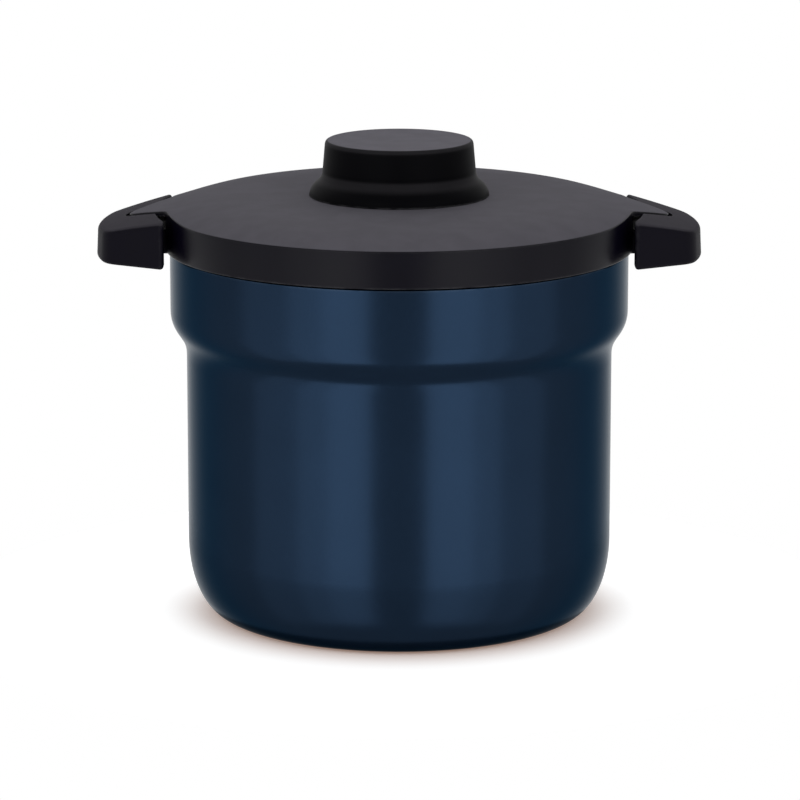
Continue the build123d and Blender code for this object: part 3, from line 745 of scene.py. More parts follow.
class Lathe:
    """Geometry Nodes tree that turns a row of profile points about the Z axis."""

    def __init__(self) -> None:
        """Build the tree once, with named inputs for its sizes."""
        inputs = {"Profile": "Geometry", "Segments": "Int", "Crease Angle": "Float", "Finish": "Material"}
        graph, given = opened("turned_profile", inputs)
        profile, segments = given["Profile"], given["Segments"]
        size = graph.node("GeometryNodeAttributeDomainSize", {}, {"Geometry": profile})
        count = graph.out(size, "Point Count")
        index = graph.out(graph.node("GeometryNodeInputIndex"))
        column = graph.math("FLOOR", index / count)
        plan = {"Size X": 1.0, "Size Y": 1.0, "Vertices X": segments + 1, "Vertices Y": count}
        grid = graph.node("GeometryNodeMeshGrid", {}, plan)
        position = graph.node("GeometryNodeInputPosition")
        place = graph.math("ROUND", index - column * count)
        sample = graph.node(
            "GeometryNodeSampleIndex",
            {"data_type": "FLOAT_VECTOR", "domain": "POINT"},
            {"Geometry": profile, "Value": position, "Index": place},
        )
        sweep = {"Vector": sample, "Angle": column * math.tau / segments}
        spot = graph.node("ShaderNodeVectorRotate", {"rotation_type": "Z_AXIS"}, sweep)
        moved = graph.node("GeometryNodeSetPosition", {}, {"Geometry": grid, "Position": spot})
        joined = graph.node("GeometryNodeMergeByDistance", {}, {"Geometry": moved, "Distance": SAME_POINT})
        closed(graph, graph.creased(joined, given["Crease Angle"]), given["Finish"])
        self.tree = graph.tree

    def turn(
        self, name: str, profile: Row, finish: bpy.types.Material, segments: int
    ) -> bpy.types.Object:
        """Turn a profile into a plain mesh object.

        Args:
            name: The piece's name.
            profile: Its (radius, height) points.
            finish: Its material.
            segments: Number of facets round the axis.

        Returns:
            The finished object, at the origin.
        """
        host_mesh = bpy.data.meshes.new(name + "_profile")
        points = [(radius, 0.0, height) for radius, height in profile]
        host_mesh.from_pydata(points, [(i, i + 1) for i in range(len(points) - 1)], [])
        values = {"Segments": segments, "Crease Angle": CREASE, "Finish": finish}
        return grown(name, host_mesh, self.tree, values)


@dataclass(frozen=True)
class ScrewKind:
    """Sizes of one kind of cross-head screw, in the order of the tree's inputs."""

    head_radius: float
    head_height: float
    shank_radius: float
    shank_length: float
    pitch: float = 0.0008
    recess_depth: float = 0.0013


class ScrewSetter:
    """Geometry Nodes tree that sets cross-head screws on points, each stopped at a chance turn."""

    SIZES = ("Head Radius", "Head Height", "Shank Radius", "Shank Length", "Thread Pitch", "Recess Depth")
    SEED = 7
    CREASE = 0.75

    # Counts of facets and rings, and shares of the head's, the recess's and the shank's own sizes
    HEAD_FACETS = 48
    HEAD_RINGS = 10
    HEAD_DOME = 0.5
    RECESS_LENGTH = 1.15
    RECESS_WIDTH = 0.26
    RECESS_TAPER = 0.4
    SHANK_START = 0.8
    SHANK_FACETS = 28
    RINGS_A_TURN = 6.0
    THREAD_DEPTH = 0.14
    TIP_BEVEL = 0.25

    def __init__(self) -> None:
        """Build the tree once, with named inputs for its sizes."""
        sizes = dict.fromkeys(self.SIZES, "Float")
        inputs = {"Places": "Geometry", **sizes, "Seed": "Int", "Finish": "Material"}
        graph, given = opened("cross_head_screws", inputs)
        screw = graph.node("GeometryNodeJoinGeometry")
        for part in (self._head(graph, given), self._shank(graph, given)):
            graph.fill(screw, {0: part})
        crisp = graph.creased(screw, self.CREASE)
        vectors = {"data_type": "FLOAT_VECTOR"}
        lean = graph.node("GeometryNodeInputNamedAttribute", vectors, {"Name": "lean"})
        leaning = graph.node("FunctionNodeEulerToRotation", {}, {"Euler": lean})
        seats = {"Points": given["Places"], "Instance": crisp, "Rotation": leaning}
        seated = graph.node("GeometryNodeInstanceOnPoints", {}, seats)
        limits = {"Min_001": 0.0, "Max_001": math.pi, "Seed": given["Seed"]}
        chance = graph.node("FunctionNodeRandomValue", {"data_type": "FLOAT"}, limits)
        stop = graph.node("ShaderNodeCombineXYZ", {}, {"Z": graph.out(chance, "Value_001")})
        spin = graph.node("FunctionNodeEulerToRotation", {}, {"Euler": stop})
        turns = {"Instances": seated, "Rotation": spin, "Local Space": True}
        closed(graph, graph.node("GeometryNodeRotateInstances", {}, turns), given["Finish"])
        self.tree = graph.tree

    def _head(self, graph: Graph, given: dict[str, Sock]) -> Sock:
        """Make a domed head with a tapered cross recess, its outer face at the origin looking down.

        Args:
            graph: The tree's graph.
            given: The tree's inputs.

        Returns:
            The head.
        """
        radius, height, depth = (given[name] for name in ("Head Radius", "Head Height", "Recess Depth"))
        blank = graph.node(
            "GeometryNodeMeshCylinder",
            {"fill_type": "TRIANGLE_FAN"},
            {
                "Vertices": self.HEAD_FACETS,
                "Side Segments": 1,
                "Fill Segments": self.HEAD_RINGS,
                "Radius": radius,
                "Depth": height,
            },
        )
        x, y, z = graph.parts(graph.node("GeometryNodeInputPosition"))
        share = (x * x + y * y) / (radius * radius)
        under = graph.math("GREATER_THAN", z, 0.0)
        lifted = height * (under + (1.0 - under) * share * share * self.HEAD_DOME)
        domed = graph.placed(blank, x, y, lifted)
        cut = graph.node("GeometryNodeMeshBoolean", {"operation": "DIFFERENCE"}, {"Mesh 1": domed})
        taper = 1.0 - z / depth * self.RECESS_TAPER
        for long_side, short_side in ("XY", "YX"):
            sides = {long_side: radius * self.RECESS_LENGTH, short_side: radius * self.RECESS_WIDTH}
            size = graph.node("ShaderNodeCombineXYZ", {}, {**sides, "Z": depth * 2.0})
            bit = graph.node("GeometryNodeMeshCube", {}, {"Size": size})
            graph.fill(cut, {"Mesh 2": graph.placed(bit, x * taper, y * taper, z)})
        return graph.out(cut, "Mesh")

    def _shank(self, graph: Graph, given: dict[str, Sock]) -> Sock:
        """Make a threaded shank that starts inside the head and runs up to a bevelled tip.

        Args:
            graph: The tree's graph.
            given: The tree's inputs.

        Returns:
            The shank.
        """
        height, pitch = given["Head Height"], given["Thread Pitch"]
        start = height * self.SHANK_START
        length = given["Shank Length"] + height - start
        rings = graph.math("CEIL", length / pitch * self.RINGS_A_TURN)
        sizes = {"Radius": given["Shank Radius"], "Depth": length}
        rod = graph.node(
            "GeometryNodeMeshCylinder",
            {"fill_type": "NGON"},
            {"Vertices": self.SHANK_FACETS, "Side Segments": rings, **sizes},
        )
        x, y, z = graph.parts(graph.node("GeometryNodeInputPosition"))
        along = z + length / 2.0
        phase = along / pitch + graph.math("ARCTAN2", y, x) / math.tau
        ridge = graph.math("PINGPONG", phase, 0.5) * 2.0
        bevel = along.over(length - pitch, length)
        reach = (1.0 - ridge * self.THREAD_DEPTH) * (1.0 - bevel * self.TIP_BEVEL)
        return graph.placed(rod, x * reach, y * reach, along + start)

    def fit(
        self, name: str, kind: ScrewKind, seats: Sequence[tuple[Place, Place]], finish: bpy.types.Material
    ) -> bpy.types.Object:
        """Set screws of one kind as one piece.

        Args:
            name: The piece's name.
            kind: The screws' sizes.
            seats: For each screw the middle of its head's outer face, and its lean from upright.
            finish: Their material.

        Returns:
            The finished object, at the origin.
        """
        host_mesh = bpy.data.meshes.new(name + "_places")
        host_mesh.from_pydata([place for place, _ in seats], [], [])
        lean = host_mesh.attributes.new("lean", "FLOAT_VECTOR", "POINT")
        lean.data.foreach_set("vector", [angle for _, angles in seats for angle in angles])
        sizes = dict(zip(self.SIZES, astuple(kind)))
        return grown(name, host_mesh, self.tree, {**sizes, "Seed": self.SEED, "Finish": finish})


def shown(name: str, data: bpy.types.ID) -> bpy.types.Object:
    """Make an object and put it in the scene.

    Args:
        name: Its name.
        data: Its mesh, lamp or camera.

    Returns:
        The object, at the origin.
    """
    made = bpy.data.objects.new(name, data)
    bpy.context.scene.collection.objects.link(made)
    return made


def grown(
    name: str, host_mesh: bpy.types.Mesh, tree: bpy.types.NodeTree, values: dict[str, object]
) -> bpy.types.Object:
    """Run a Geometry Nodes tree on a mesh and keep the result as a plain mesh.

    Args:
        name: The piece's name.
        host_mesh: The mesh that the tree starts from.
        tree: The tree.
        values: Its inputs by name.

    Returns:
        The finished object, with no modifier.
    """
    host = shown(name + "_host", host_mesh)
    modifier = host.modifiers.new("grow", "NODES")
    modifier.node_group = tree
    for item in tree.interface.items_tree:
        if item.in_out == "INPUT" and item.name in values:
            modifier[item.identifier] = values[item.name]
    bpy.context.view_layer.update()
    evaluated = host.evaluated_get(bpy.context.evaluated_depsgraph_get())
    mesh = bpy.data.meshes.new_from_object(evaluated)
    mesh.name = name
    bpy.data.objects.remove(host)
    piece = shown(name, mesh)
    face_outwards(mesh)
    return piece


def face_outwards(mesh: bpy.types.Mesh) -> None:
    """Point a closed mesh's faces outwards and drop its empty faces.

    Args:
        mesh: The mesh.
    """
    work = bmesh.new()
    work.from_mesh(mesh)
    bmesh.ops.dissolve_degenerate(work, dist=NO_LENGTH, edges=work.edges)
    if work.calc_volume(signed=True) < 0:
        bmesh.ops.reverse_faces(work, faces=work.faces)
    work.to_mesh(mesh)
    work.free()


def built(
    name: str, points: Sequence[Place], faces: Sequence[Sequence[int]], finish: bpy.types.Material
) -> bpy.types.Object:
    """Make a smooth-shaded object from points and faces, with its sharp edges marked.

    Args:
        name: The piece's name.
        points: Its vertices, which may repeat.
        faces: Its faces by vertex number.
        finish: Its material.

    Returns:
        The finished object, at the origin.
    """
    mesh = bpy.data.meshes.new(name)
    work = bmesh.new()
    corners = [work.verts.new(point) for point in points]
    for face in faces:
        around = [corners[i] for i in dict.fromkeys(face)]
        if len(around) > 2:
            work.faces.new(around)
    bmesh.ops.remove_doubles(work, verts=work.verts, dist=SAME_POINT)
    bmesh.ops.recalc_face_normals(work, faces=work.faces)
    for face in work.faces:
        face.smooth = True
    for edge in work.edges:
        edge.smooth = len(edge.link_faces) == 2 and edge.calc_face_angle() < CREASE
    work.to_mesh(mesh)
    work.free()
    mesh.materials.append(finish)
    face_outwards(mesh)
    return shown(name, mesh)


def settle(piece: bpy.types.Object, body: Body, node: str) -> None:
    """Let a piece ride on a body and stand for a CAD node, which is hidden.

    Args:
        piece: The finished piece.
        body: The body.
        node: The CAD node.
    """
    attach(piece, body.value)
    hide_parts(node)
    LOG.info("%s rides on %s and stands for %s", piece.name, body.value, node)


class Workshop:
    """The lathe, the screws and the finishes that every sub-assembly uses."""

    FINISHES = (
        FlakePaint("navy_paint", (0.0066, 0.015, 0.0305), 0.22, edge=(0.46, 0.5, 0.54)),
        # lid_resin's crown is painted light: its top is painted paler than its sides
        MouldedResin(
            "lid_resin", (0.0008, 0.0005, 0.0026), 0.3, specular=0.08, crown=(0.07, 0.067, 0.079)
        ),
        # knob_resin's crown is painted light on its top, and its painted highlight is a paler band on its
        # flare
        MouldedResin(
            "knob_resin",
            (0.0002, 0.0002, 0.0006),
            0.5,
            specular=0.022,
            crown=(0.1, 0.096, 0.112),
            crown_roughness=0.7,
            crown_rise=(0.9, 0.98),
            painted_highlight=(0.011, 0.0105, 0.012),
        ),
        # handle_resin's crown is painted light: faces that look up are painted paler
        MouldedResin(
            "handle_resin", (0.0012, 0.0008, 0.003), 0.55, specular=0.05, crown=(0.028, 0.026, 0.032)
        ),
        MouldedResin("collar_resin", (0.003, 0.003, 0.0035), 0.5, specular=0.06),
        MouldedResin("pot_handle_resin", (0.016, 0.016, 0.017), 0.45),
        MouldedResin("liner_resin", (0.035, 0.035, 0.038), 0.4),
        MouldedResin("seal_resin", (0.13, 0.13, 0.14), 0.55),
        BrushedMetal("liner_steel", (0.5, 0.51, 0.52), 0.34, depth=0.24),
        BrushedMetal("pot_steel", (0.42, 0.42, 0.43), 0.4, line=0.0009, line_height=0.00001, depth=0.3),
        BrushedMetal("plate_steel", (0.56, 0.57, 0.58), 0.35, Brushing.CROSS),
        BrushedMetal("screw_steel", (0.6, 0.6, 0.61), 0.25),
        BrushedMetal("rim_steel", (0.45, 0.45, 0.46), 0.2, depth=0.1),
        BrushedMetal("core_aluminium", (0.7, 0.71, 0.72), 0.4),
        BrushedMetal("getter_metal", (0.3, 0.3, 0.31), 0.5, Brushing.CROSS),
        ClearGlass("lid_glass", (0.86, 0.93, 0.9), 0.015),
        SoftFoam("foot_rubber", (0.02, 0.02, 0.021), 0.75, cell_height=0.00003),
        SoftFoam("washer_rubber", (0.04, 0.04, 0.041), 0.7, cell_height=0.00003),
        SoftFoam("lid_foam", (0.78, 0.75, 0.68), 0.9),
    )

    def __init__(self) -> None:
        """Make the trees and every material once."""
        self.lathe = Lathe()
        self.screws = ScrewSetter()
        self.materials = {finish.name: finish.material() for finish in self.FINISHES}

    def turn(
        self, name: str, profile: Row, body: Body, slot: str, node: str, segments: int = 192
    ) -> None:
        """Turn the piece that stands for one CAD node.

        Args:
            name: The piece's name.
            profile: Its (radius, height) points.
            body: The body it rides on.
            slot: Its finish.
            node: The CAD node.
            segments: Number of facets round the axis.
        """
        piece = self.lathe.turn(name, profile, self.materials[slot], segments)
        settle(piece, body, node)

    def screw(self, body: Body, kind: ScrewKind, seats: Sequence[tuple[Place, Place]], node: str) -> None:
        """Set the screws that stand for one CAD node.

        Args:
            body: The body they ride on.
            kind: Their sizes.
            seats: The place and lean of each.
            node: The CAD node.
        """
        piece = self.screws.fit("cross_head_" + node, kind, seats, self.materials["screw_steel"])
        settle(piece, body, node)

    def dress(self, **looks: str) -> None:
        """Give CAD nodes that stay in view their finishes.

        Args:
            looks: The finish of each node.
        """
        for node, name in looks.items():
            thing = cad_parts[node]
            if not thing.material_slots:
                thing.data.materials.append(self.materials[name])
            for slot in thing.material_slots:
                slot.material = self.materials[name]
            LOG.info("%s keeps its CAD shape and wears %s", node, name)


# Sub-assemblies


@dataclass
class Container:
    """The double-walled container with its base, collar and handles."""

    lower_radius: float = 0.1113
    upper_radius: float = 0.1196
    neck_radius: float = 0.1164
    floor: float = 0.0008
    wall: float = 0.001
    corner_width: float = 0.0184
    corner_height: float = 0.0388
    step_bottom: float = 0.1378
    step_top: float = 0.1617
    shoulder: float = 0.1937
    shoulder_run: float = 0.006
    shoulder_rounding: float = 0.0009
    neck_rounding: float = 0.0006
    neck_top: float = 0.202
    lip: float = 0.2028
    lip_rounding: float = 0.0006
    lip_edge: float = 0.0003
    base_opening: float = 0.062
    base_rounding: float = 0.0003
    groove: Point = (0.07585, 0.08615)
    groove_depth: float = 0.0012
    liner_wall: float = 0.0008
    liner_radius: float = 0.1008
    liner_mouth: float = 0.1102
    liner_floor: float = 0.0166
    liner_corner: float = 0.016
    liner_step_bottom: float = 0.132
    liner_step_top: float = 0.156
    liner_run: float = 0.001
    shell_facets: int = 256
    screw: ScrewKind = ScrewKind(0.0036, 0.0022, 0.002, 0.0058)
    screw_seat: Place = (0.1351, 0.005, 0.193)

    def shell_profile(self) -> Row:
        """Draw the painted shell's cross-section, closed round its wall.

        Returns:
            Its outline.
        """
        wall, floor, inside = self.wall, self.floor, self.floor + self.wall
        near, far = self.groove
        roof = floor + self.groove_depth
        edge = self.base_rounding
        corner_at = (self.lower_radius - self.corner_width, floor + self.corner_height)

        def step(offset: float) -> Row:
            """The S-shaped step, moved inwards."""
            low, high = self.lower_radius - offset, self.upper_radius - offset
            return ogee((low, self.step_bottom), (high, self.step_top), steps=20)

        outside = rounded(
            [
                (corner_at[0], inside, 0),
                (far + wall, inside, 0),
                (far + wall, roof + wall, 0),
                (near - wall, roof + wall, 0),
                (near - wall, inside, 0),
                (self.base_opening, inside, 0),
                (self.base_opening, floor, edge),
                (near, floor, edge),
                (near, roof, 0),
                (far, roof, 0),
                (far, floor, edge),
                (corner_at[0], floor, 0),
            ],
            steps=3,
        )
        outside += elbow(corner_at, self.corner_width, self.corner_height, steps=28)[1:]
        outside += step(0.0)
        upper, neck, shoulder = self.upper_radius, self.neck_radius, self.shoulder
        outside += rounded(
            [
                (upper, shoulder - self.shoulder_run, 0),
                (upper, shoulder, self.shoulder_rounding),
                (neck, shoulder, self.neck_rounding),
                (neck, self.neck_top, 0),
                (neck - wall, self.neck_top, 0),
                (neck - wall, shoulder - wall, 0),
                (upper - wall, shoulder - wall, 0),
                (upper - wall, self.step_top, 0),
            ]
        )
        inner = elbow(corner_at, self.corner_width - wall, self.corner_height - wall, steps=20)[::-1]
        return held(outside + step(wall)[::-1][1:] + inner[:-1] + outside[:1])

    def liner_profile(self) -> Row:
        """Draw the steel liner's cross-section, from the axis out and back.

        Returns:
            Its outline.
        """
        wall, mouth, corner = self.liner_wall, self.liner_mouth, self.liner_corner
        corner_at = (self.liner_radius - corner, self.liner_floor + corner)
        run = self.liner_step_top + self.liner_run

        def step(offset: float) -> Row:
            """The S-shaped step, moved outwards."""
            low, high = self.liner_radius + offset, mouth + offset
            return ogee((low, self.liner_step_bottom), (high, self.liner_step_top), steps=14)

        inside = [(0.0, self.liner_floor), *elbow(corner_at, corner, corner, steps=10), *step(0.0)]
        lip = rounded(
            [
                (mouth, run, 0),
                (mouth, self.lip, self.lip_rounding),
                (self.neck_radius, self.lip, self.lip_edge),
                (self.neck_radius, self.neck_top, 0),
                (mouth + wall, self.neck_top, 0),
                (mouth + wall, run, 0),
            ],
            steps=4,
        )
        outside = step(wall)[::-1] + elbow(corner_at, corner + wall, corner + wall, steps=10)[::-1]
        return held(inside + lip + outside + [(0.0, self.liner_floor - wall)])

    def build(self, shop: Workshop) -> None:
        """Make the container's pieces.

        Args:
            shop: The lathe, the screws and the finishes.
        """
        body = Body.CONTAINER
        facets = self.shell_facets
        shop.turn("painted_shell", self.shell_profile(), body, "navy_paint", "outer_shell", segments=facets)
        shop.turn("steel_liner", self.liner_profile(), body, "liner_steel", "vacuum_liner")
        shop.dress(
            mouth_collar="collar_resin",
            base_plate="plate_steel",
            base_cover="collar_resin",
            vacuum_seal="seal_resin",
            vacuum_getter="getter_metal",
            foot_ring="foot_rubber",
            right_handle="handle_resin",
            left_handle="handle_resin",
            right_handle_bracket="plate_steel",
            left_handle_bracket="plate_steel",
        )
        x, y, z = self.screw_seat
        seats = [((side, end, z), UPRIGHT) for side in (-x, x) for end in (-y, y)]
        shop.screw(body, self.screw, seats, "handle_screws")


@dataclass(frozen=True)
class Knob:
    """The outer lid's hollow knob, with a dished top, a wall and a flared foot."""

    height: float = 0.022
    top_radius: float = 0.0386
    dish_depth: float = 0.0005
    dish_edge: float = 0.0022
    bulge: float = 0.0001
    shoulder: float = 0.0024
    waist: float = 0.0398
    foot: float = 0.0469
    foot_gap: float = 0.0002
    foot_wall: float = 0.0018
    flare_top: float = 0.0068
    flare_dip: float = 0.0002
    flare_end: Point = (0.0009, 0.0004)
    flare_inside: Place = (0.0014, 0.0015, 0.002)
    wall: float = 0.0026
    wall_foot: float = 0.003
    roof: float = 0.0031
    roof_rounding: float = 0.0016

    def profile(self, seat: float, dome: float) -> Row:
        """Draw the knob's cross-section, from the axis over the top and back inside.

        Args:
            seat: Height of the seat it stands on.
            dome: Height of the lid under its foot.

        Returns:
            Its outline.
        """
        top, low = seat + self.height, dome + self.foot_gap
        dip, roof, brim = top - self.dish_depth, top - self.roof, self.top_radius
        dish = curve([(0.0, dip), (brim / 2, dip), (brim - self.dish_edge, top)], steps=8)
        edge = [dish[-1], (brim - self.bulge, top), (brim + self.bulge, top - self.shoulder)]
        back, rise = self.flare_end
        flare = curve(
            [
                (self.waist, seat + self.flare_top),
                (self.waist, seat - self.flare_dip),
                (self.foot - back, seat + rise),
                (self.foot, low),
            ],
            steps=24,
        )
        out, down, bend = self.flare_inside
        inside = rounded(
            [
                (self.foot, low, 0),
                (self.foot - self.foot_wall, low, 0),
                (self.waist + out, seat - down, bend),
                (self.waist - self.wall, seat + self.wall_foot, 0),
                (brim - self.wall, roof, self.roof_rounding),
                (0.0, roof, 0),
            ],
            steps=4,
        )
        return held(dish + curve(edge, steps=8)[1:] + flare + inside[1:])


@dataclass
class OuterLid:
    """The insulated outer lid: cover with two ears, liner, foam and knob."""

    rim_radius: float = 0.122
    rim_height: float = 0.2132
    dome_rise: float = 0.008
    dome_power: int = 10
    dome_run: float = 0.006
    dome_steps: int = 10
    boss_radius: float = 0.0435
    boss_top_radius: float = 0.038
    boss_flat: float = 0.03
    boss_height: float = 0.007
    boss_roundings: Point = (0.0007, 0.0016)
    wall: float = 0.0025
    dome_wall: float = 0.0018
    dome_wall_steps: int = 8
    cover_underside: float = 0.2107
    skirt_bottom: float = 0.1942
    skirt_inner: float = 0.1198
    ledge_inner: float = 0.1168
    edge_rounding: float = 0.0005
    edge_steps: int = 4
    merge_radius: float = 0.105
    merge_steps: int = 12
    shoulder_tip: Point = (0.1575, 0.2059)
    ear_flow: Point = (0.02, 0.064)
    ear_lean: float = 0.9
    ear_tip: float = 0.13345
    ear_tip_radius: float = 0.0068
    ear_root_radius: float = 0.008
    ear_steps: int = 8
    rim_steps: int = 40
    notch_half: float = 0.0156
    knob: Knob = Knob()
    screw: ScrewKind = ScrewKind(0.0036, 0.0022, 0.0018, 0.012)
    screw_ring: float = 0.022
    screw_height: float = 0.2235
    screw_turns: Place = (90.0, 210.0, 330.0)

    @property
    def boss_top(self) -> float:
        """Height of the knob's seat."""
        return self.rim_height + self.dome_rise + self.boss_height

    def dome(self, radius: float) -> float:
        """Height of the dome's top at a radius."""
        return self.rim_height + self.dome_rise * (1 - (radius / self.rim_radius) ** self.dome_power)

    def shoulder(self, radius: float) -> float:
        """Find the height of the arc that carries the dome on outwards over the ears.

        Args:
            radius: Distance from the axis.

        Returns:
            The height there.
        """
        start, (tip, low) = self.merge_radius, self.shoulder_tip
        lean = self.dome_rise * self.dome_power / self.rim_radius
        tilt = math.atan(lean * (start / self.rim_radius) ** (self.dome_power - 1))
        across, down = tip - start, self.dome(start) - low
        bend = math.hypot(across, down) / (2 * math.sin(math.atan2(down, across) - tilt))
        along = radius - start + bend * math.sin(tilt)
        return self.dome(start) - bend * math.cos(tilt) + math.sqrt(bend**2 - along**2)

    def top(self, x: float, y: float) -> float:
        """Find the height of the cover's top, where the dome flows into the two ears.

        Args:
            x: Distance from the axis towards the ears.
            y: Distance from the axis across them.

        Returns:
            The height there.
        """
        radius = math.hypot(x, y)
        if radius <= self.merge_radius:
            return self.dome(radius)
        near, far = self.ear_flow
        share = min(max((far - abs(y)) / (far - near), 0.0), 1.0)
        share = share * share * (3 - 2 * share)
        plain = self.dome(min(radius, self.rim_radius))
        return plain + (self.shoulder(radius) - plain) * share

    def ear_edge(self) -> Row:
        """Draw the plan of half an ear, from the rim's circle to its tip on the X axis.

        Returns:
            Its points.
        """
        root, tip_radius, steps = self.ear_root_radius, self.ear_tip_radius, self.ear_steps
        normal = Vector((self.ear_lean, 1.0)).normalized()
        reach = Vector((self.ear_tip, 0.0)).dot(normal) + tip_radius
        off, ring = reach + root, self.rim_radius + root
        middle = normal * off + Vector((normal.y, -normal.x)) * math.sqrt(ring**2 - off**2)
        start = middle * (self.rim_radius / ring)
        end = middle - normal * root
        turns = evenly(bearing(start - middle), bearing(end - middle), steps)
        hollow = [polar(root, angle) for angle in turns]
        tip = [polar(tip_radius, angle) for angle in evenly(bearing(normal), 0.0, steps)]
        tip = [(self.ear_tip + x, y) for x, y in tip]
        side = [tuple(end.lerp(Vector(tip[0]), k / steps)) for k in range(1, steps)]
        return [(middle.x + x, middle.y + y) for x, y in hollow] + side + tip

    def outline(self) -> Row:
        """Draw the plan of the whole cover, once round from the right ear's tip.

        Returns:
            Its points.
        """
        edge = self.ear_edge()
        angles = evenly(math.atan2(edge[0][1], edge[0][0]), math.pi / 2, self.rim_steps)
        quarter = edge[::-1] + [polar(self.rim_radius, angle) for angle in angles[1:]]
        half = quarter + [(-x, y) for x, y in reversed(quarter[:-1])]
        return half + [(x, -y) for x, y in reversed(half[1:-1])]

    def column(self, x: float, y: float, notched: bool) -> list[Place]:
        """Cut once through the cover's shell, from the boss out over the edge and back inside.

        Args:
            x: The outline's point that the cut runs through.
            y: Its second coordinate.
            notched: Whether the skirt is cut away there.

        Returns:
            The cut's points.
        """
        reach = math.hypot(x, y)
        ux, uy = x / reach, y / reach
        wall, rim, inner, ledge = self.wall, self.rim_radius, self.skirt_inner, self.ledge_inner
        shelf, hem, lip = self.cover_underside, self.skirt_bottom, self.edge_rounding
        foot, boss, flat, seat = self.boss_radius, self.boss_top_radius, self.boss_flat, self.boss_top
        near = foot + self.dome_run
        tight, wide = self.boss_roundings
        row = rounded(
            [
                (flat, seat, 0),
                (boss, seat, tight),
                (foot, self.dome(foot), wide),
                (near, self.dome(near), 0),
            ],
            steps=5,
        )
        radii = evenly(near, self.merge_radius, self.dome_steps)
        row += [(radius, self.dome(radius)) for radius in radii[1:]]
        radii = evenly(self.merge_radius, reach - lip, self.merge_steps)
        row += [(radius, self.top(ux * radius, uy * radius)) for radius in radii[1:]]
        crown = self.top(x, y)
        slope = (crown - row[-1][1]) / lip
        for angle in evenly(0.0, 90.0, self.edge_steps)[1:]:
            turn = math.radians(angle)
            out, down = lip * (1 - math.sin(turn)), lip * (1 - math.cos(turn))
            row.append((reach - out, crown - slope * out - down))
        row.append((reach, max(crown - wall, shelf)))
        row.append((rim, max(self.top(ux * rim, uy * rim) - wall, shelf)))
        skirt = [(rim, shelf, 0), (rim, hem, lip), (inner, hem, lip), (inner, shelf, 0)]
        hung = rounded(skirt, self.edge_steps)
        if notched:
            hung = [(rim, shelf)] * (len(hung) // 2) + [(inner, shelf)] * (len(hung) // 2)
        row += [*hung, (ledge, shelf)]
        radii = evenly(ledge, boss - wall, self.dome_wall_steps)
        row += [(radius, self.dome(radius) - self.dome_wall) for radius in radii]
        row += [(boss - wall, seat - wall), (flat, seat - wall)]
        return [(ux * radius, uy * radius, height) for radius, height in row]

    def cover(self, finish: bpy.types.Material) -> bpy.types.Object:
        """Make the cover as one closed shell of cuts round the axis.

        Args:
            finish: Its material.

        Returns:
            The finished object, at the origin.
        """
        columns: list[list[Place]] = []
        half = self.notch_half
        line = self.outline()
        for (x, y), (next_x, next_y) in zip(line, line[1:] + line[:1]):
            inside = abs(y) < half
            columns.append(self.column(x, y, inside))
            if inside != (abs(next_y) < half):
                share = (math.copysign(half, y) - y) / (next_y - y)
                between = (x + (next_x - x) * share, y + (next_y - y) * share)
                columns += [self.column(*between, inside), self.column(*between, not inside)]
        count = len(columns[0])
        points = [point for column in columns for point in column]
        points += [(0.0, 0.0, self.boss_top), (0.0, 0.0, self.boss_top - self.wall)]
        top, under = len(points) - 2, len(points) - 1
        faces: list[list[int]] = []
        for index in range(len(columns)):
            here, there = index * count, (index + 1) % len(columns) * count
            faces += [[here + k, here + k + 1, there + k + 1, there + k] for k in range(count - 1)]
            faces += [[top, here, there], [under, there + count - 1, here + count - 1]]
        return built("lid_shell", points, faces, finish)

    def build(self, shop: Workshop) -> None:
        """Make the outer lid's pieces.

        Args:
            shop: The lathe, the screws and the finishes.
        """
        body = Body.OUTER_LID
        settle(self.cover(shop.materials["lid_resin"]), body, "lid_cover")
        knob = self.knob.profile(self.boss_top, self.dome(self.knob.foot))
        shop.turn("hollow_knob", knob, body, "knob_resin", "lid_knob")
        shop.dress(lid_liner="liner_resin", lid_insulation="lid_foam")
        ring = [polar(self.screw_ring, math.radians(turn)) for turn in self.screw_turns]
        seats = [((*spot, self.screw_height), UPRIGHT) for spot in ring]
        shop.screw(body, self.screw, seats, "knob_screws")


